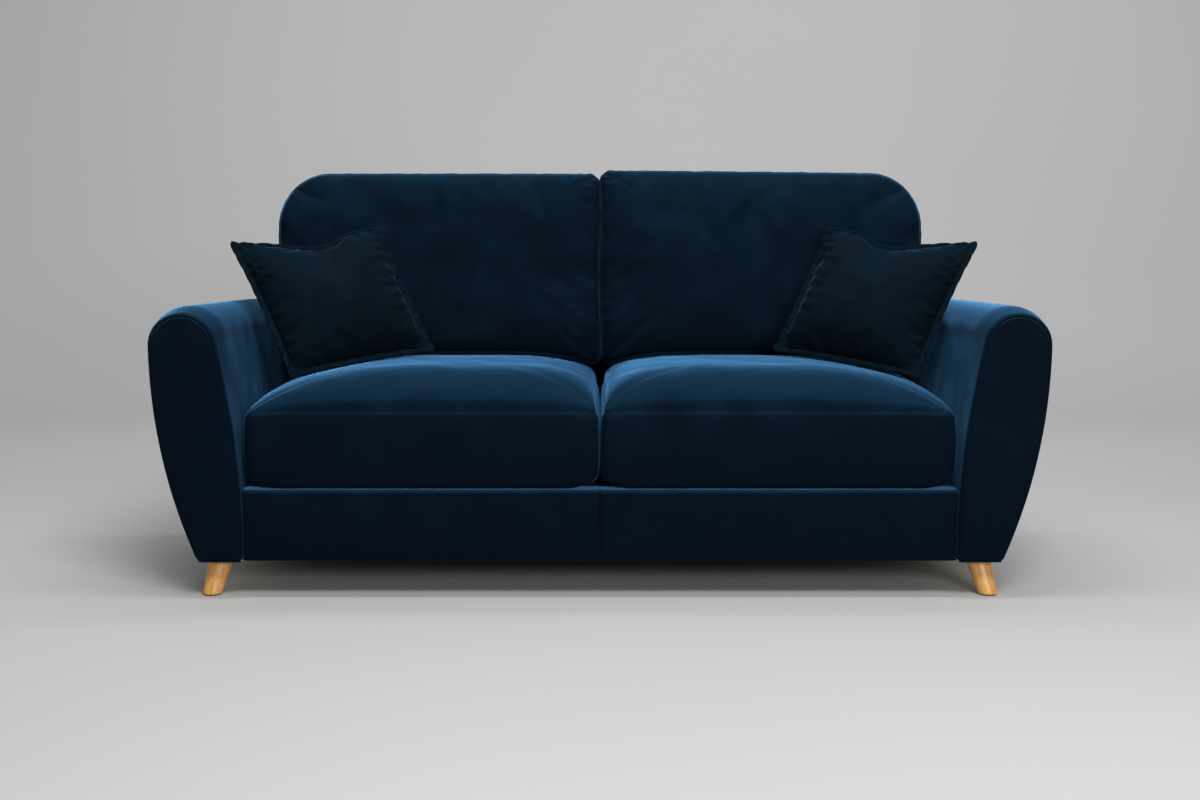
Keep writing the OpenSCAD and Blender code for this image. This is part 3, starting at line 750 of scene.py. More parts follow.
@dataclass
class Puffing:
    """How a cushion is blown up by cloth simulation and what is kept of it."""

    pressure: float = 3.0
    frames: int = 16
    seam_slack: float = 0.05
    cloth_slack: float = 0.015
    crease: float = 0.5
    cap: float = 0.006
    blur: int = 40

    def run(self, points: Array, faces: Array, seams: Array) -> Array:
        """Simulates the cover under pressure, held at its seams, and adds its folds to the shape.

        The cloth is cut a little too large, most beside the seams, so the surplus gathers into
        folds. The smooth part of the movement is left out, as the shape already has it.

        Args:
            points: the shape at rest.
            faces: its quads.
            seams: a weight of 1 on the seams falling to 0 in the open cloth.
        Returns:
            The new points, moved by no more than cap.
        """
        obj = build_mesh("cloth_trial", points, faces)
        self.weigh(obj, "seam", seams)
        self.weigh(obj, "hold", (seams > 0.97).astype(float))
        cloth = obj.modifiers.new("cloth", "CLOTH")
        settings = cloth.settings
        settings.quality = 6
        settings.mass = 0.3
        settings.tension_stiffness = settings.compression_stiffness = 18.0
        settings.shear_stiffness = 6.0
        settings.bending_stiffness = 0.8
        settings.air_damping = 2.0
        settings.use_pressure = True
        settings.uniform_pressure_force = self.pressure
        settings.vertex_group_shrink = "seam"
        settings.shrink_min, settings.shrink_max = -self.cloth_slack, -self.seam_slack
        settings.vertex_group_mass = "hold"
        settings.effector_weights.gravity = 0.0
        cloth.point_cache.frame_end = self.frames
        scene = bpy.context.scene
        for number in range(1, self.frames + 1):
            scene.frame_set(number)
        seen = obj.evaluated_get(bpy.context.evaluated_depsgraph_get())
        moved = np.nan_to_num(read_points(seen) - points)
        bpy.data.objects.remove(obj)
        scene.frame_set(1)
        folds = self.crease * (moved - blur(moved, neighbour_edges(faces), self.blur))
        length = np.linalg.norm(folds, axis=1, keepdims=True)
        return points + folds * self.cap / np.hypot(self.cap, length)

    @staticmethod
    def weigh(obj: bpy.types.Object, name: str, weights: Array) -> None:
        """Adds a vertex group with the weights, in steps of a twentieth."""
        group = obj.vertex_groups.new(name=name)
        steps = np.round(weights * 20) / 20
        for value in np.unique(steps[steps > 0]):
            group.add(np.nonzero(steps == value)[0].tolist(), float(value), "REPLACE")


@dataclass
class Cushion:
    """What all the cushions share: a cover with seams and folds, and its filling."""

    side: Side
    net: CushionNet
    puff: Puffing
    gather: Gather
    kind: str
    cover_slot: str
    filling_slot: str
    filling: Finish
    cloth: Finish = VELVET
    fold_reach: float = 0.05
    skin: float = 0.008
    fill: float = 0.8
    contact: float = 0.0025
    contact_wave: float = 0.07
    contact_gap: float = 0.0006
    seam_depth: float = 0.0022
    seam_r: float = 0.0011

    def shape(self) -> Array:
        """Returns the points of the cushion for the right half, before its folds."""
        raise NotImplementedError

    def seam_rings(self) -> list[Array]:
        """Returns the vertex numbers along each seam."""
        return [self.net.border[0], self.net.border[-1]]

    def build(self) -> Array:
        """Makes the cover, its seams and the filling, and returns the cover's points."""
        points, faces = self.shape(), self.net.faces
        filling = self.filling_points(points)
        away = np.min([nearest(points, points[ring])[0] for ring in self.seam_rings()], axis=0)
        folded = self.puff.run(points, faces, np.clip(1 - away / self.fold_reach, 0, 1))
        normal = point_normals(folded, faces)
        lift = sum(self.gather.lift(points, points[ring]) for ring in self.seam_rings())
        folded = folded + normal * lift[:, None]
        for ring in self.seam_rings():
            folded[ring] -= self.seam_depth * normal[ring]
        meeting = self.side.value * self.contact * np.sin(2 * math.pi * folded[:, 1] / self.contact_wave)
        folded[:, 0] = np.maximum(folded[:, 0], self.contact_gap + meeting)
        word, body = self.side.word, f"{self.kind}_{self.side.word}"
        slot, inner_slot = f"{self.cover_slot}_{word}", f"{self.filling_slot}_{word}"
        turned = self.side.turn(faces)
        cover = build_mesh(f"{self.kind}_{word}_cloth", self.side.mirror(folded), turned)
        subdivide(cover)
        place(cover, self.cloth, body, slot, slot)
        for number, ring in enumerate(self.seam_rings(), start=1):
            path = self.side.mirror(folded[ring])
            seam = tube(f"{self.kind}_{word}_seam_{number}", path, self.seam_r, closed=True)
            place(seam, SHADED_SEAM, body, slot)
        inner = build_mesh(f"{self.kind}_{word}_filling", self.side.mirror(filling), turned)
        place(inner, self.filling, body, inner_slot, inner_slot)
        return folded

    def filling_points(self, points: Array) -> Array:
        """Returns the filling: the shape before its folds, moved in by the skin."""
        calm = blur(points, neighbour_edges(self.net.faces), 3)
        return calm - self.skin * point_normals(calm, self.net.faces)


@dataclass
class SeatCushion(Cushion):
    """A boxed seat cushion: crowned top, bulging border, top and bottom seams and a zip behind."""

    net: CushionNet = field(default_factory=lambda: CushionNet(76, 68, 14))
    puff: Puffing = field(default_factory=lambda: Puffing(
        pressure=2.5, frames=14, seam_slack=0.03, cloth_slack=0.012, crease=0.18, cap=0.0014))
    gather: Gather = field(default_factory=lambda: Gather(pitch=0.036, height=0.0007, reach=0.022, seed=3))
    kind: str = "seat_cushion"
    cover_slot: str = "seat_cushion_cover"
    filling_slot: str = "seat_cushion_core"
    filling: Finish = FOAM
    fill: float = 0.85
    front_r: float = 0.020
    rear_r: float = 0.030
    seam_top: float = 0.428
    seam_bottom: float = 0.2570
    crown: float = 0.092
    rear_flat: float = 0.010
    front_rise: float = 0.21
    belly: float = 0.0040
    bulge: float = 0.007
    corner_run: float = 0.085
    corner_rise: float = 0.026

    def shape(self) -> Array:
        """Works out the cushion for the right half.

        The plan is a rectangle with round corners. The top rises from its seam upright and levels
        out, over the longest way at the front. The border stands out in the middle of its height,
        the bottom hangs a little below its seam, and the lower front corners are rounded off.
        """
        lo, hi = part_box(f"seat_cushion_cover_{self.side.word}")
        x0, x1 = sorted((abs(lo[0]), abs(hi[0])))
        x0, x1 = x0 - 0.0035, x1 + 0.0045
        cx, cy = (x0 + x1) / 2, (lo[1] + hi[1]) / 2
        hw, hd = (x1 - x0) / 2, (hi[1] - lo[1]) / 2
        u, v = self.net.spread()
        radii = np.array([self.front_r, self.front_r, self.rear_r, self.rear_r])
        x, y = rounded_plan(u, v, hw - self.bulge, hd - self.bulge, radii)
        edge, front, back = (1.0 - np.abs(u)) * hw, y + hd - self.bulge, hd - self.bulge - y
        beside = np.where(u < 0, swell_curve(edge, 0.30, 3.0), swell_curve(edge, 0.36, 1.8))
        rise = swell_curve(front, self.front_rise, 2.2) * swell_curve(back, 0.05, 3.0) * beside
        top = self.seam_top + (self.crown - self.rear_flat * smooth_step(0.050, 0.080, y + cy)) * rise
        top += 0.0016 * ripple(x, y, 11 + self.side.value, 0.24, 3) * rise
        low = self.seam_bottom - self.belly * swell_curve(np.minimum(front, edge), 0.014, 2.0)
        points = np.zeros((self.net.count, 3))
        points[self.net.top.ravel()] = np.stack([x + cx, y + cy, top], -1).reshape(-1, 3)
        points[self.net.bottom.ravel()] = np.stack([x + cx, y + cy, low], -1).reshape(-1, 3)
        rim = points[self.net.border[0]]
        out = rim_directions(rim, 0, 1)
        k = np.linspace(0, 1, self.net.rings + 1)[1:-1, None]
        ease = 0.5 - 0.5 * np.cos(math.pi * k)
        swell = self.bulge * np.sin(math.pi * ease) ** 0.5
        ring = np.empty((self.net.rings - 1, len(rim), 3))
        ring[..., :2] = rim[None, :, :2] + swell[..., None] * out[None]
        ring[..., 2] = lerp(self.seam_top, self.seam_bottom, ease)
        points[self.net.border[1:-1].ravel()] = ring.reshape(-1, 3)
        beside = np.clip(1 - (hw - np.abs(points[:, 0] - cx)) / self.corner_run, 0, 1) ** 2.2
        ahead = np.exp(-(((points[:, 1] - cy + hd) / 0.08) ** 2))
        corner = self.corner_rise * beside * ahead
        points[:, 2] += corner * (1 - smooth_step(self.seam_bottom, 0.35, points[:, 2]))
        points[:, 2] -= 0.15 * corner * smooth_step(0.36, self.seam_top, points[:, 2])
        return points


@dataclass
class BackCushion(Cushion):
    """A tall back cushion: crowned front, border between two seams, big round outer top corner."""

    net: CushionNet = field(default_factory=lambda: CushionNet(84, 54, 10))
    puff: Puffing = field(default_factory=lambda: Puffing(
        pressure=3.0, frames=16, seam_slack=0.06, cloth_slack=0.02, crease=0.4, cap=0.0032))
    gather: Gather = field(default_factory=lambda: Gather(pitch=0.027, height=0.0022, reach=0.024, seed=5))
    kind: str = "back_cushion"
    cover_slot: str = "back_cushion_cover"
    filling_slot: str = "back_cushion_fill"
    filling: Finish = FIBRE
    fill: float = 0.75
    skin: float = 0.010
    lean_deg: float = 11.6
    foot_r: float = 0.016
    inner_r: float = 0.026
    outer_r: float = 0.128
    crown: float = 0.048
    border_w: float = 0.105
    bulge: float = 0.007
    height: float = 0.456
    tilt: float = 0.0
    sag: float = 0.024
    foot_y: float = 0.271
    foot_z: float = 0.5115

    def shape(self) -> Array:
        """Works out the cushion for the right half, in its own upright frame, then leans it back.

        The outline is a rectangle with round corners, the outer top one much larger. The front
        swells upright from its seam and levels out, least at the top, and the border bulges
        between its seams.
        """
        lo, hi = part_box(f"back_cushion_cover_{self.side.word}")
        x0, x1 = min(abs(lo[0]), abs(hi[0])) - 0.0085, max(abs(lo[0]), abs(hi[0])) + 0.003
        lean = math.radians(self.lean_deg)
        cx, hw, hh = (x0 + x1) / 2, (x1 - x0) / 2, self.height / 2
        u, v = self.net.spread()
        radii = np.array([self.foot_r, self.foot_r, self.inner_r, self.outer_r])
        x, h = rounded_plan(u, v, hw - self.bulge, hh - self.bulge, radii)
        rise = swell_curve((1 - np.abs(u)) * hw, 0.19, 2.4)
        above, below = swell_curve((1 - v) * hh, 0.17, 2.4), swell_curve((1 + v) * hh, 0.09, 2.8)
        rise = rise * np.where(v > 0, above, below)
        lower = 1.0 - 0.22 * smooth_step(0.0, hh, h)
        wave = 0.0026 * ripple(x, h, 5 + self.side.value, 0.26, 3) * rise
        front, back = -self.border_w / 2 - self.crown * rise * lower - wave, self.border_w / 2 + 0.026 * rise
        middle = -self.border_w / 2 - 0.030
        points = np.zeros((self.net.count, 3))
        points[self.net.top.ravel()] = np.stack([x + cx, front + middle, h + hh], -1).reshape(-1, 3)
        points[self.net.bottom.ravel()] = np.stack([x + cx, back + middle, h + hh], -1).reshape(-1, 3)
        rim = points[self.net.border[0]]
        out = rim_directions(rim, 0, 2)
        k = np.linspace(0, 1, self.net.rings + 1)[1:-1, None]
        swell = self.bulge * np.sin(math.pi * k) ** 0.6
        ring = np.empty((self.net.rings - 1, len(rim), 3))
        ring[..., 0] = rim[None, :, 0] + swell * out[None, :, 0]
        ring[..., 2] = rim[None, :, 2] + swell * out[None, :, 1]
        ring[..., 1] = middle + lerp(-self.border_w / 2, self.border_w / 2, k)
        points[self.net.border[1:-1].ravel()] = ring.reshape(-1, 3)
        points[:, 2] += self.tilt * (1.0 - (points[:, 0] - x0) / (x1 - x0)) * points[:, 2] / self.height
        y = points[:, 1] * math.cos(lean) + points[:, 2] * math.sin(lean) + self.foot_y
        share = np.clip(points[:, 2] / self.height, 0, 1)
        z = -points[:, 1] * math.sin(lean) * share + points[:, 2] * math.cos(lean) + self.foot_z
        z = np.maximum(z, self.foot_z)
        gap = 1.0 - swell_curve(points[:, 0], 0.30, 3.0)
        z -= np.minimum(0.09 * gap, self.sag) * np.exp(-((z - self.foot_z) / 0.05) ** 2)
        return np.stack([points[:, 0], y, z], -1)


@dataclass
class ScatterCushion(Cushion):
    """A square feather cushion with a flat stitched flange, chopped in at its top edge.

    Its four corners are given for the right half: top inner, top outer, bottom outer, bottom inner.
    """

    net: CushionNet = field(default_factory=lambda: CushionNet(60, 60, 0, 0.5))
    puff: Puffing = field(default_factory=lambda: Puffing(
        pressure=4.0, frames=18, seam_slack=0.12, cloth_slack=0.03, crease=0.9, cap=0.008))
    gather: Gather = field(default_factory=lambda: Gather(pitch=0.034, height=0.0042, reach=0.034, seed=9))
    kind: str = "scatter_cushion"
    cover_slot: str = "scatter_cover"
    filling_slot: str = "scatter_pad"
    filling: Finish = FIBRE
    # The darker copy of the velvet: painted shade.
    cloth: Finish = SHADED_VELVET
    fill: float = 0.6
    fold_reach: float = 0.07
    top_inner: tuple[float, float, float] = (0.566, 0.105, 0.845)
    top_outer: tuple[float, float, float] = (0.930, -0.030, 0.806)
    bottom_outer: tuple[float, float, float] = (0.752, -0.215, 0.482)
    bottom_inner: tuple[float, float, float] = (0.416, -0.030, 0.535)
    outward: float = 0.0
    flange: float = 0.014
    thick: float = 0.124
    chop: float = 0.040
    waist: float = 0.010

    def corners(self) -> tuple[Array, ...]:
        """Returns the four corners: top inner, top outer, bottom outer, bottom inner."""
        shift = np.array([self.outward, 0.0, 0.0])
        given = (self.top_inner, self.top_outer, self.bottom_outer, self.bottom_inner)
        return tuple(np.array(corner) + shift for corner in given)

    def seam_rings(self) -> list[Array]:
        """The two faces share one seam."""
        return [self.net.border[0]]

    def middle(self, u: Array, v: Array) -> Array:
        """The cushion's middle surface: a four-cornered patch with hollow sides and a chopped top.

        Args:
            u: from -1 at the inner side to 1 at the outer side.
            v: from -1 at the bottom to 1 at the top.
        Returns:
            Points on the surface.
        """
        ti, to, bo, bi = self.corners()
        p, q = ((u + 1) / 2)[..., None], ((v + 1) / 2)[..., None]
        base = (1 - p) * (1 - q) * bi + p * (1 - q) * bo + p * q * to + (1 - p) * q * ti
        across, upward = (to - ti + bo - bi) / 2, (ti - bi + to - bo) / 2
        across, upward = across / np.linalg.norm(across), upward / np.linalg.norm(upward)
        hollow = self.waist * (1 - v**2) * u * np.abs(u)
        wide = np.where(u < -0.12, 0.34, 0.62)
        dip = self.chop * np.exp(-(((u + 0.12) / wide) ** 2)) * (1 - u**4) * smooth_step(-0.6, 1.0, v)
        lift = self.waist * (1 - u**2) * np.clip(-v, 0, 1) ** 2
        return base - hollow[..., None] * across + (lift - dip)[..., None] * upward

    def facing(self) -> Array:
        """The direction the cushion faces, square to its four-cornered patch."""
        ti, to, bo, bi = self.corners()
        n = np.cross(to - bi, ti - bo)
        n = n / np.linalg.norm(n)
        return n if n[1] < 0 else -n

    def shape(self) -> Array:
        """Works out the cushion: two faces that swell from a shared seam and thin out to its corners."""
        return self.lens(1.0 - 2 * self.flange / 0.40, self.thick)

    def lens(self, share: float, thick: float) -> Array:
        """The two swollen faces.

        Args:
            share: how much of the four-cornered patch the seam takes in.
            thick: the thickness in the middle.
        Returns:
            Points in the net's order.
        """
        u, v = self.net.spread()
        surface, n = self.middle(u * share, v * share), self.facing()
        round_off = np.clip((1 - np.abs(u) ** 2.3) * (1 - np.abs(v) ** 2.3), 0, 1) ** 0.60
        chopped = 1.0 - 0.30 * np.exp(-(((u + 0.10) / 0.3) ** 2)) * smooth_step(0.0, 1.0, v)
        wave = 0.002 * ripple(u * 0.2, v * 0.2, 17, 0.16, 3) * round_off
        height = (thick / 2 * round_off * chopped + wave)[..., None]
        points = np.zeros((self.net.count, 3))
        points[self.net.bottom.ravel()] = (surface - 0.85 * height * n).reshape(-1, 3)
        points[self.net.top.ravel()] = (surface + height * n).reshape(-1, 3)
        return points

    def filling_points(self, points: Array) -> Array:
        """Returns the feather pad: the same form, smaller and thinner."""
        return self.lens(0.80, self.thick - 0.030)

    def build(self) -> Array:
        """Makes the cover with its filling, then the flange around it."""
        points = super().build()
        self.add_flange(points)
        return points

    def add_flange(self, points: Array) -> None:
        """Makes the flat flange: a thin strip that leaves the rim and waves a little."""
        rim, n = points[self.net.border[0]], self.facing()
        along = np.roll(rim, -1, axis=0) - np.roll(rim, 1, axis=0)
        out = unit(np.cross(along, n))
        if ((rim - rim.mean(axis=0)) * out).sum() < 0:
            out = -out
        out = (np.roll(out, 1, axis=0) + out + np.roll(out, -1, axis=0)) / 3
        length = np.linalg.norm(out, axis=1, keepdims=True)
        out = out / np.maximum(length, 0.5) ** 2
        path = ring_path(rim)
        wave = 0.0022 * np.sin(path * 2 * math.pi / 0.047) + 0.0014 * np.sin(path * 2 * math.pi / 0.021 + 1.0)
        steps = np.array([-0.2, 0.2, 0.6, 0.94, 1.0, 0.94, 0.6, 0.2, -0.2])
        half = 0.0022 * np.array([1.0, 0.8, 1.0, 0.8, 0.0, -0.8, -1.0, -0.8, -1.0])
        reach = (steps * self.flange)[:, None, None] * out[None]
        lift = half[:, None] + wave[None] * np.clip(steps, 0, 1)[:, None]
        sheet = rim[None] + reach + lift[..., None] * n
        faces = grid_faces(grid_index(sheet), wrap_rows=True, wrap_cols=True)
        flat = sheet.reshape(-1, 3)
        core = np.broadcast_to(rim[None] + 0.4 * self.flange * out[None], sheet.shape).reshape(-1, 3)
        if (point_normals(flat, faces) * (flat - core)).sum() < 0:
            faces = faces[:, ::-1]
        word = self.side.word
        strip = build_mesh(f"scatter_cushion_{word}_flange", self.side.mirror(flat), self.side.turn(faces))
        subdivide(strip)
        place(strip, self.cloth, f"scatter_cushion_{word}", f"scatter_cover_{word}")


# ---------------------------------------------------------------- arms

@dataclass
class TulipArm:
    """A tulip arm: three arcs that run into each other, a puffed cover and a flat front facing."""

    side: Side
    width: float = 0.202
    base_w: float = 0.100
    top: float = 0.651
    top_r: float = 0.074
    flare: float = 0.120
    foot: float = 0.086
    puff_top: float = 0.015
    puff_side: float = 0.002
    roll: float = 0.012
    top_reach: float = 0.11
    slope: float = 0.031
    groove: float = 0.005
    around: int = 120
    along: int = 64
    turn_in: tuple[float, ...] = (0.001, 0.010, 0.034)
    foam_inset: float = 0.004
    facing_inset: float = 0.003
    seam_r: float = 0.0012
    seam_back: float = 0.002

    def outline(self, n: int) -> tuple[Array, Array]:
        """The arm's outline in X and Z and its outward direction, from the inner foot over the top.

        The inner side is upright to the flare and then an arc of the radius that runs into the round
        top, which is a circle, and the outer side is an arc that runs from it to the outer foot.

        Args:
            n: number of points.
        Returns:
            Points and directions, n by 2, x measured from the inner face.
        """
        cx, cz = self.width - self.top_r, self.top - self.top_r
        r_in = (cx**2 + (cz - self.flare) ** 2 - self.top_r**2) / (2 * (cx - self.top_r))
        e = self.width - self.base_w
        r_out = ((cz - self.foot) ** 2 + e**2) / (2 * e)
        a_in = math.atan2(cz - self.flare, cx - r_in)
        low = -math.asin((cz - self.foot) / r_out)
        lengths = np.array([self.flare - self.foot, r_in * (math.pi - a_in), self.top_r * a_in, r_out * -low])
        stops = np.concatenate([[0], np.cumsum(lengths)])
        s = np.linspace(0, stops[-1], n)
        part = np.clip(np.searchsorted(stops, s, side="right") - 1, 0, 3)
        t = (s - stops[part]) / lengths[part]
        straight = np.stack([np.zeros(n), self.foot + t * lengths[0]], -1)
        angles = [math.pi + t * (a_in - math.pi), a_in - t * a_in, t * low]
        centres = [(r_in, self.flare, r_in), (cx, cz, self.top_r), (self.width - r_out, cz, r_out)]
        points, out = straight, np.tile([-1.0, 0.0], (n, 1))
        for k, (angle, (ox, oz, r)) in enumerate(zip(angles, centres), start=1):
            ray = np.stack([np.cos(angle), np.sin(angle)], -1)
            mask = (part == k)[:, None]
            points = np.where(mask, np.array([ox, oz]) + r * ray, points)
            out = np.where(mask, ray, out)
        return points, out

    def inner_side(self, z: Array) -> Array:
        """Returns X of the inner side at the heights z, measured from the inner face."""
        base, _ = self.outline(400)
        half = base[:np.argmax(base[:, 1]) // 2 * 2]
        keep = half[:, 1] < self.top - self.top_r
        return np.interp(z, half[keep, 1], half[keep, 0])

    def cover_points(self, inset: float = 0.0) -> Array:
        """The cover: the outline carried from the front seam to the back, puffed behind the seam.

        It turns round a small edge at the seam, rises slowly above the outline on the round top,
        and the top falls a little towards the back, where the cloth turns in under the outside back.

        Args:
            inset: how far the points lie inside the cover, for the foam under it.
        Returns:
            Points, rows from front to back, places round the outline.
        """
        lo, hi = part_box(f"arm_cover_{self.side.word}")
        front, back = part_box(f"arm_facing_{self.side.word}")[0][1], hi[1] - inset
        base, out = self.outline(self.around)
        s = np.append(np.linspace(0, 1, self.along), np.ones(len(self.turn_in)))
        start = front + self.groove + 3.0 * inset
        y = start + (back - start) * s**1.7
        depth = (y - front - self.groove)
        rise = swell_curve(depth, self.roll, 2.0)
        upper = smooth_step(0.45, 0.62, base[:, 1]) * smooth_step(-0.3, 0.7, out[:, 1])
        swelling = self.puff_top * smooth_step(-0.04, self.top_reach, depth)
        puff = self.puff_side * rise[:, None] + swelling[:, None] * upper[None, :]
        puff = puff - 0.003 * (1 - rise)[:, None] - inset
        puff = puff - np.append(np.zeros(self.along), self.turn_in)[:, None]
        wave = 0.0008 * ripple(y[:, None], base[None, :, 1] + base[None, :, 0], 21, 0.40, 2)
        puff = puff + wave * rise[:, None]
        fall = self.slope * np.clip(y - front - 0.11, 0, None)[:, None]
        weight = smooth_step(0.30, 0.65, base[:, 1])[None, :]
        inner_x = abs(lo[0]) if self.side is Side.RIGHT else abs(hi[0])
        x = inner_x + base[None, :, 0] + out[None, :, 0] * puff
        z = base[None, :, 1] + out[None, :, 1] * puff - fall * weight
        z = np.where(np.arange(self.around)[None, :] == 0, self.foot, z)
        z = np.where(np.arange(self.around)[None, :] == self.around - 1, self.foot, z)
        return np.stack([x, np.broadcast_to(y[:, None], x.shape), z], -1)

    def facing_points(self, y_plane: float, inner_x: float) -> tuple[Array, Array]:
        """A flat padded panel in the arm's outline: rings from a middle line out to the seam.

        It is crowned by a few millimetres and turns away in a small round at the seam.

        Args:
            y_plane: where the panel's face lies.
            inner_x: X of the arm's inner face.
        Returns:
            Points, rings by places, and the outermost ring.
        """
        base, out = self.outline(self.around)
        edge = base - self.facing_inset * out
        foot_line = np.linspace(edge[-1], edge[0], 16)[1:-1]
        edge = np.vstack([edge, foot_line])
        edge[:, 1] = np.maximum(edge[:, 1], self.foot + 0.001)
        spine_z = np.clip(edge[:, 1], self.foot + 0.03, self.top - self.top_r - 0.01)
        inner = np.interp(spine_z, base[:self.around // 2, 1], base[:self.around // 2, 0])
        outer = np.interp(spine_z, base[::-1][:self.around // 2, 1], base[::-1][:self.around // 2, 0])
        spine = np.stack([(inner + outer) / 2, spine_z], -1)
        r = np.concatenate([np.linspace(0, 0.85, 8), 1 - (np.linspace(1, 0, 8)[1:]) ** 1.5 * 0.15])
        flat = lerp(spine[None], edge[None], r[:, None, None])
        gap = np.linalg.norm(edge - spine, axis=1)[None] * (1 - r[:, None])
        over = np.clip(self.groove - gap, 0, None)
        turn = self.groove - np.sqrt(np.clip(self.groove**2 - over**2, 0, None))
        crown = 0.003 * (1 - r[:, None] ** 2)
        wave = 0.0006 * ripple(flat[..., 0], flat[..., 1], 31, 0.16, 2) * (1 - r[:, None] ** 4)
        y = y_plane - (crown + wave - turn - self.facing_inset)
        return np.stack([inner_x + flat[..., 0], y, flat[..., 1]], -1), edge

    def panel(self, name: str, points: Array) -> bpy.types.Object:
        """Joins rings of a panel, whose innermost ring lies on the middle line, into a mesh."""
        faces = grid_faces(grid_index(points), wrap_cols=True)
        obj = build_mesh(name, self.side.mirror(points.reshape(-1, 3)), self.side.turn(faces))
        weld(obj, 0.0004)
        return obj

    def build(self) -> None:
        """Makes the cover, the front facing and the seam between them."""
        word = self.side.word
        points = self.cover_points()
        faces = self.side.turn(grid_faces(grid_index(points), wrap_cols=True)[:, ::-1])
        lo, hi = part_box(f"arm_cover_{word}")
        inner_x = abs(lo[0]) if self.side is Side.RIGHT else abs(hi[0])
        cover = build_mesh(f"arm_{word}_cover", self.side.mirror(points.reshape(-1, 3)), faces)
        subdivide(cover)
        place(cover, VELVET, "sofa_frame", f"arm_cover_{word}", f"arm_cover_{word}")
        within = self.cover_points(self.foam_inset).reshape(-1, 3)
        foam = build_mesh(f"arm_{word}_foam", self.side.mirror(within), faces)
        place(foam, FOAM, "sofa_frame", f"arm_foam_{word}", f"arm_foam_{word}")
        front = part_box(f"arm_facing_{word}")[0][1]
        face, edge = self.facing_points(front, inner_x)
        panel = self.panel(f"arm_{word}_facing", face)
        subdivide(panel)
        place(panel, VELVET, "sofa_frame", f"arm_facing_{word}", f"arm_facing_{word}")
        seam_y = np.full(len(edge), front + self.groove + self.seam_back)
        rim = np.stack([inner_x + edge[:, 0], seam_y, edge[:, 1]], -1)
        seam = tube(f"arm_{word}_facing_seam", self.side.mirror(rim), self.seam_r, closed=True)
        place(seam, SHADED_SEAM, "sofa_frame", f"arm_facing_{word}")


def weld(obj: bpy.types.Object, distance: float) -> None:
    """Merges points that lie closer together than the distance."""
    mod = obj.modifiers.new("weld", "WELD")
    mod.merge_threshold = distance
    seen = obj.evaluated_get(bpy.context.evaluated_depsgraph_get())
    mesh = bpy.data.meshes.new_from_object(seen)
    obj.modifiers.clear()
    obj.data = mesh


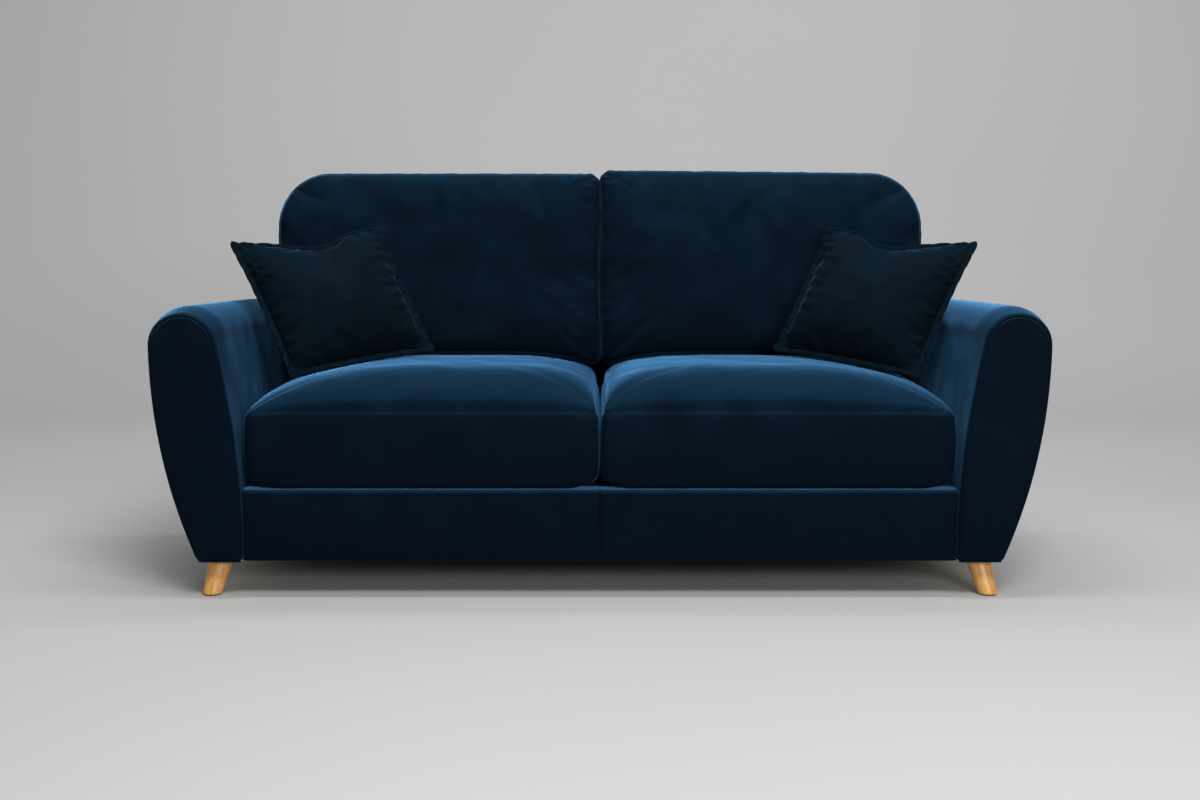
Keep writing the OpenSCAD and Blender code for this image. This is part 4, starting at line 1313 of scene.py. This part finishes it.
@dataclass
class FrontBorder:
    """The upholstered front border: one half, from the middle seam to the arm, with a rolled top."""

    side: Side
    roll: float = 0.009
    pinch: float = 0.0015
    plump: float = 0.0035
    cloth: float = 0.002
    columns: int = 120

    def profile(self) -> Array:
        """The border's section in Y and Z: under the foot, up the front, round the top and back."""
        lo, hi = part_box(f"front_border_{self.side.word}")
        front, foot, top = lo[1], lo[2], hi[2]
        rise = np.stack([np.full(22, front), np.linspace(foot, top - self.roll, 22)], -1)
        angle = np.linspace(math.pi, math.pi / 2, 14)[1:]
        bend = np.stack([front + self.roll * (1 + np.cos(angle)), top - self.roll * (1 - np.sin(angle))], -1)
        flat = np.stack([np.linspace(front + self.roll, hi[1], 6)[1:], np.full(5, top)], -1)
        tuck = np.array([[front + 0.045, foot + 0.0004], [front + 0.02, foot]])
        return np.vstack([tuck, rise, bend, flat])

    def surface(self, x: Array) -> Array:
        """The border's outer face: the section carried along X.

        It stands out by a few millimetres between the middle seam and the arm, where it is drawn
        in, and short creases fan from the arm's corner.

        Args:
            x: distances from the middle seam.
        Returns:
            Points, one row per distance.
        """
        lo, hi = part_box(f"front_border_{self.side.word}")
        x1, front, foot, top = max(abs(lo[0]), abs(hi[0])), lo[1], lo[2], hi[2]
        section = self.profile()
        centre, end = np.exp(-x / 0.010), np.exp(-(x1 - x) / 0.016)
        z = section[None, :, 1]
        bulge = self.plump * (1 + np.sin(math.pi * np.clip((z - foot) / (top - foot), 0, 1)))
        away = (x1 - x)[:, None]
        crease = 0.0022 * np.sin((z - foot) * 60 + away * 75) * np.exp(-away / 0.07)
        crease = crease * smooth_step(foot + 0.07, top - 0.02, z)
        wave = 0.0010 * ripple(x[:, None], z, 41, 0.24, 2)
        free = (1 - centre - end)[:, None] * (section[None, :, 0] < front + 0.02)
        y = section[None, :, 0] - (bulge + crease + wave) * free + self.pinch * centre[:, None]
        return np.stack([np.broadcast_to(x[:, None], y.shape), y, np.broadcast_to(z, y.shape)], -1)

    def build(self) -> None:
        """Makes the cloth of this half and, with the right half, the middle seam and the foam."""
        word = self.side.word
        lo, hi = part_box(f"front_border_{word}")
        x1 = max(abs(lo[0]), abs(hi[0]))
        points = self.surface(x1 * (1 - np.cos(np.linspace(0, math.pi, self.columns))) / 2)
        obj = build_mesh(f"front_border_{word}_cloth", self.side.mirror(points.reshape(-1, 3)),
                         self.side.turn(grid_faces(grid_index(points))))
        solid = obj.modifiers.new("cloth_thickness", "SOLIDIFY")
        solid.thickness, solid.offset = self.cloth, -1.0
        subdivide(obj)
        place(obj, VELVET, "sofa_frame", f"front_border_{word}", f"front_border_{word}")
        if self.side is Side.RIGHT:
            self.build_seam()
            self.build_foam(x1)

    def build_seam(self) -> None:
        """Makes the upright seam where the two halves meet."""
        section = self.profile()[2:-4]
        path = np.concatenate([np.zeros((len(section), 1)), section + [self.pinch * 0.6, -0.0004]], axis=1)
        place(tube("front_border_seam", path, 0.0013, closed=False), SHADED_SEAM, "sofa_frame", "front_border_right")

    def build_foam(self, x1: float) -> None:
        """Makes the foam under both halves: their outer face moved in, closed behind."""
        x = np.linspace(-x1 + 0.008, x1 - 0.008, 160)
        outer = self.surface(np.abs(x))
        outer[..., 0] = x[:, None]
        outer[..., 1] += self.cloth + 0.0016 + 0.004 * np.exp(-np.abs(x) / 0.01)[:, None]
        top, foot = outer[..., 2].max() - self.cloth - 0.0026, outer[..., 2].min() + 0.006
        outer[..., 2] = np.clip(outer[..., 2], foot, top - 0.004 * np.exp(-np.abs(x) / 0.01)[:, None])
        outer = outer[:, :-4]
        inner = outer[:, ::-1].copy()
        inner[..., 1] = np.maximum(inner[..., 1], outer[..., 1].min() + 0.010)
        points = np.concatenate([outer, inner], axis=1)
        faces = grid_faces(grid_index(points), wrap_cols=True)
        obj = build_mesh("rail_foam_pad", points.reshape(-1, 3), faces)
        place(obj, FOAM, "sofa_frame", "rail_foam", "rail_foam")


# ---------------------------------------------------------------- back

@dataclass
class BackUpholstery:
    """The inside back with its rolled edges and the outside back panel."""

    lean_deg: float = 11.6
    lean_from: float = 0.500
    edge_r: float = 0.030
    corner_r: float = 0.050
    half_w: float = 0.836
    shoulder: float = 0.600
    foam_t: float = 0.022
    lobe_drop: float = 0.014
    net: CushionNet = field(default_factory=lambda: CushionNet(80, 40, 10, 0.3))

    def build(self) -> None:
        """Makes the inside back and the outside back."""
        self.build_inside()
        self.build_outside()

    def half_width(self, z: Array) -> Array:
        """Half of the width: it follows the arms up to the shoulder and narrows to the top's width."""
        low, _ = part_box("arm_cover_right")
        beside = low[0] + TulipArm(Side.RIGHT).inner_side(np.minimum(z, self.shoulder)) - 0.004
        narrow = smooth_step(self.shoulder, self.shoulder + 0.05, z)
        return lerp(beside, np.minimum(beside, self.half_w), narrow)

    def build_inside(self) -> None:
        """Makes the inside back.

        The face is a grid that leans back above the seat and is crowned a little. A border of
        quarter circles turns from it to the sides and the top and runs on to the rear.
        """
        lo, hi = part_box("inside_back_cover")
        u, v = self.net.spread()
        r, crown = self.edge_r, 0.006
        z = lerp(lo[2], hi[2] - r, (v + 1) / 2)
        x = u * (self.half_width(z) - r)
        over = np.clip(np.abs(x) - (self.half_w - r - self.corner_r), 0, self.corner_r)
        cut = self.corner_r - np.sqrt(np.clip(self.corner_r**2 - over**2, 0, None))
        z = z - cut * smooth_step(0.70, 1.0, (v + 1) / 2)
        slope = math.tan(math.radians(self.lean_deg))
        y = lo[1] + crown + np.clip(z - self.lean_from, 0, None) * slope
        y = y - crown * (1 - u**4) * (1 - v**4)
        rear = hi[1]
        points = np.zeros((self.net.count, 3))
        points[self.net.top.ravel()] = np.stack([x, y, z], -1).reshape(-1, 3)
        rim = points[self.net.border[0]]
        out = np.roll(rim, -1, axis=0) - np.roll(rim, 1, axis=0)
        out = unit(np.stack([out[:, 2], np.zeros(len(out)), -out[:, 0]], -1))
        out[rim[:, 2] < lo[2] + 0.002, 2] = 0.0
        turn = np.linspace(0, math.pi / 2, self.net.rings - 2)[1:]
        for number, angle in enumerate(turn, start=1):
            ring = rim + out * r * math.sin(angle)
            ring[:, 1] = rim[:, 1] + r * (1 - math.cos(angle))
            points[self.net.border[number]] = ring
        side = points[self.net.border[len(turn)]]
        for number in range(len(turn) + 1, self.net.rings + 1):
            ring = side.copy()
            ring[:, 1] = lerp(side[:, 1], rear, (number - len(turn)) / (self.net.rings - len(turn)))
            points[self.net.border[number]] = ring
        wide = (self.half_width(z) / np.maximum(self.half_width(z) - r, 1e-6))
        tall = lerp(lo[2], hi[2], (z - lo[2]) / (hi[2] - r - lo[2]))
        flat = np.stack([x * wide, np.full_like(x, rear), tall], -1)
        inner = np.ones(self.net.bottom.shape, bool)
        inner[[0, -1]] = inner[:, [0, -1]] = False
        points[self.net.bottom[inner]] = flat[inner]
        obj = build_mesh("inside_back_upholstery", points, self.net.faces)
        subdivide(obj)
        place(obj, VELVET, "sofa_frame", "inside_back_cover", "inside_back_cover")
        face = lo[1] + np.clip(points[:, 2] - self.lean_from, 0, None) * slope
        within = points - 0.005 * point_normals(points, self.net.faces)
        front = face + crown + 0.003
        within[:, 1] = front + (within[:, 1] - front) * self.foam_t / (rear - lo[1])
        within[:, 0] *= 1 - r / self.half_w
        within[:, 2] = lo[2] + (within[:, 2] - lo[2]) * (1 - r / (hi[2] - lo[2]))
        foam = build_mesh("inside_back_foam", within, self.net.faces)
        place(foam, FOAM, "sofa_frame", "back_foam", "back_foam")

    def build_outside(self) -> None:
        """Makes the outside back: the node's flat form, a little lower behind the arms, edges eased."""
        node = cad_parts["outside_back_panel"]
        obj = bpy.data.objects.new("outside_back_upholstery", node.data.copy())
        bpy.context.scene.collection.objects.link(obj)
        weld(obj, 0.0001)
        points = read_points(obj)
        lobe = smooth_step(0.83, 0.87, np.abs(points[:, 0])) * smooth_step(0.40, 0.64, points[:, 2])
        points[:, 2] -= self.lobe_drop * lobe
        obj.data.vertices.foreach_set("co", points.astype(np.float32).ravel())
        ease = obj.modifiers.new("ease", "BEVEL")
        ease.width, ease.segments, ease.limit_method = 0.004, 3, "ANGLE"
        ease.angle_limit = math.radians(50)
        place(obj, VELVET, "sofa_frame", "outside_back_panel", "outside_back_panel")


# ---------------------------------------------------------------- legs

@dataclass
class SplayedLeg:
    """A turned leg: a cone that leans from its foot to its top, with eased edges."""

    name: str
    across: float
    behind: float
    top_r: float = 0.030
    foot_r: float = 0.022
    out: float = 0.022
    forward: float = 0.023
    height: float = 0.086
    sides: int = 48

    def build(self) -> None:
        """Makes the leg from rings: the radius grows evenly upwards and is eased at both ends."""
        node = f"leg_{self.name}"
        lo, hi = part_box(node)
        sx, sy = self.across, self.behind
        foot_z, top_z = lo[2], hi[2]
        outer_x = max(abs(lo[0]), abs(hi[0]))
        outer_y = max(abs(lo[1]), abs(hi[1]))
        foot = np.array([sx * (outer_x - self.foot_r), sy * (outer_y - self.foot_r)])
        top = foot - np.array([sx * self.out, sy * self.forward])
        t = np.concatenate([[0, 0, 0.01, 0.03], np.linspace(0.08, 0.92, 14), [0.97, 0.99, 1, 1]])
        shrink = np.concatenate([[1.0, 0.12, 0.05, 0.0], np.zeros(14), [0.0, 0.02, 0.06, 1.0]])
        z = lerp(foot_z, top_z, t)
        radius = lerp(self.foot_r, self.top_r, z / self.height)
        radius = np.where(shrink == 1.0, 0.0006, radius * (1 - shrink * 0.5))
        centre = lerp(foot[None], top[None], (z / self.height)[:, None])
        angle = np.linspace(0, 2 * math.pi, self.sides, endpoint=False)
        ring = np.stack([np.cos(angle), np.sin(angle)], -1)
        flat = centre[:, None, :] + radius[:, None, None] * ring[None]
        points = np.concatenate([flat, np.broadcast_to(z[:, None, None], flat.shape[:2] + (1,))], -1)
        faces = grid_faces(grid_index(points), wrap_cols=True)[:, ::-1]
        obj = build_mesh(f"leg_{self.name}_turned", points.reshape(-1, 3), faces)
        own = np.concatenate([radius[:, None, None] * ring[None],
                              np.broadcast_to(z[:, None, None], flat.shape[:2] + (1,))], -1)
        own = own + np.array([sx * 0.31, sy * 0.17, 0.0])
        space = obj.data.attributes.new("leg_space", "FLOAT_VECTOR", "POINT")
        space.data.foreach_set("vector", own.reshape(-1).astype(np.float32))
        place(obj, BEECH, "sofa_frame", node, node)


# ---------------------------------------------------------------- hidden parts and zips

HIDDEN_FINISHES: dict[Finish, tuple[str, ...]] = {
    PINE: ("front_rail", "back_rail", "base_side_rails", "seat_cross_rail", "corner_blocks", "back_top_rail",
           "arm_top_rail_left", "arm_top_rail_right", "arm_base_rail_left", "arm_base_rail_right"),
    PLY: ("back_frame_boards", "arm_base_board_left", "arm_base_board_right",
          "arm_end_boards_left", "arm_end_boards_right"),
    WIRE: ("seat_springs",),
    STEEL: ("spring_clips", "arm_bolts", "leg_plates", "leg_bolts", "plate_screws",
            "zip_pull_left", "zip_pull_right"),
    WEBBING: ("back_webbing",),
    PLATFORM: ("seat_deck",),
    SPUN: ("dust_cover",),
    FELT: ("leg_glides",),
    ZIP_TAPE: ("seat_zip_left", "seat_zip_right"),
}


def dress_hidden_parts() -> None:
    """Gives every carried-over node its finish."""
    for finish, nodes in HIDDEN_FINISHES.items():
        for node in nodes:
            WARDROBE.dress_cad(node, finish)


# ---------------------------------------------------------------- studio

@dataclass
class Studio:
    """A sweep of grey paper, soft light from above and in front, and the camera."""

    width: float = 30.0
    front: float = -9.0
    bend_at: float = 3.2
    bend_r: float = 2.6
    wall: float = 9.0
    eye: tuple[float, float, float] = (0.0, -4.670, 0.899)
    tilt_deg: float = 5.97
    lens: float = 56.07

    def build(self) -> None:
        """Makes the paper, the lights and the camera."""
        self.build_paper()
        self.build_lights()
        self.build_camera()

    def build_paper(self) -> None:
        """Makes the paper: level floor, a quarter circle and an upright wall, carried along X."""
        angle = np.linspace(-math.pi / 2, 0, 40)
        bend_y, bend_z = self.bend_at + self.bend_r * np.cos(angle), self.bend_r + self.bend_r * np.sin(angle)
        bend = np.stack([bend_y, bend_z], -1)
        profile = np.vstack([[[self.front, 0.0]], bend, [[self.bend_at + self.bend_r, self.wall]]])
        x = np.linspace(-self.width / 2, self.width / 2, 3)
        points = np.empty((len(x), len(profile), 3))
        points[..., 0] = x[:, None]
        points[..., 1:] = profile[None]
        paper = build_mesh("studio_paper", points.reshape(-1, 3), grid_faces(grid_index(points)))
        WARDROBE.dress(paper, PAPER)

    @staticmethod
    def lamp(name: str, at: Place, aim: Place, size: tuple[float, float], power: float) -> None:
        """Adds a rectangular soft lamp at a place, aimed at a point."""
        data = bpy.data.lights.new(name, "AREA")
        data.shape = "RECTANGLE"
        data.size, data.size_y = size
        data.energy = power
        obj = bpy.data.objects.new(name, data)
        obj.location = at
        way = np.array(aim) - np.array(at)
        obj.rotation_euler = (math.acos(-way[2] / np.linalg.norm(way)), 0.0,
                              math.atan2(way[1], way[0]) - math.pi / 2)
        bpy.context.scene.collection.objects.link(obj)

    def build_lights(self) -> None:
        """Adds the overhead soft box, the front key and an even fill from the room."""
        self.lamp("overhead", (0.0, -1.0, 3.5), (0.0, 0.1, 0.4), (3.0, 1.0), 46.0)
        self.lamp("key", (0.9, -4.0, 3.8), (0.1, 0.0, 0.3), (2.0, 1.0), 165.0)
        self.lamp("fill", (1.7, -6.0, 1.7), (0.1, 0.0, 0.1), (2.2, 0.8), 160.0)
        self.lamp("backdrop", (0.6, 1.6, 5.2), (0.0, 5.6, 1.7), (7.0, 1.2), 172.0)
        world = bpy.data.worlds.new("room")
        world.use_nodes = True
        world.node_tree.nodes["Background"].inputs["Color"].default_value = linear("ffffff")
        world.node_tree.nodes["Background"].inputs["Strength"].default_value = 0.25
        bpy.context.scene.world = world
        bpy.context.scene.view_settings.view_transform = "Standard"

    def build_camera(self) -> None:
        """Puts the camera in front of the sofa, tilted down a little."""
        data = bpy.data.cameras.new("camera")
        data.lens = self.lens
        data.sensor_width = 36.0
        obj = bpy.data.objects.new("camera", data)
        obj.location = self.eye
        obj.rotation_euler = (math.radians(90.0 - self.tilt_deg), 0.0, 0.0)
        bpy.context.scene.collection.objects.link(obj)
        bpy.context.scene.camera = obj


def main() -> None:
    """Builds the studio, then the sofa piece by piece."""
    logging.basicConfig(level=logging.INFO, format="%(name)s: %(message)s")
    Studio().build()
    for side in Side:
        TulipArm(side).build()
        FrontBorder(side).build()
        SeatCushion(side).build()
        BackCushion(side, tilt=0.009 if side is Side.RIGHT else 0.0).build()
        ScatterCushion(side, outward=0.010 if side is Side.RIGHT else -0.009).build()
    BackUpholstery().build()
    for name, across, behind in (("front_left", -1, -1), ("front_right", 1, -1),
                                 ("back_left", -1, 1), ("back_right", 1, 1)):
        SplayedLeg(name, across, behind).build()
    dress_hidden_parts()


if __name__ == "__main__":
    main()
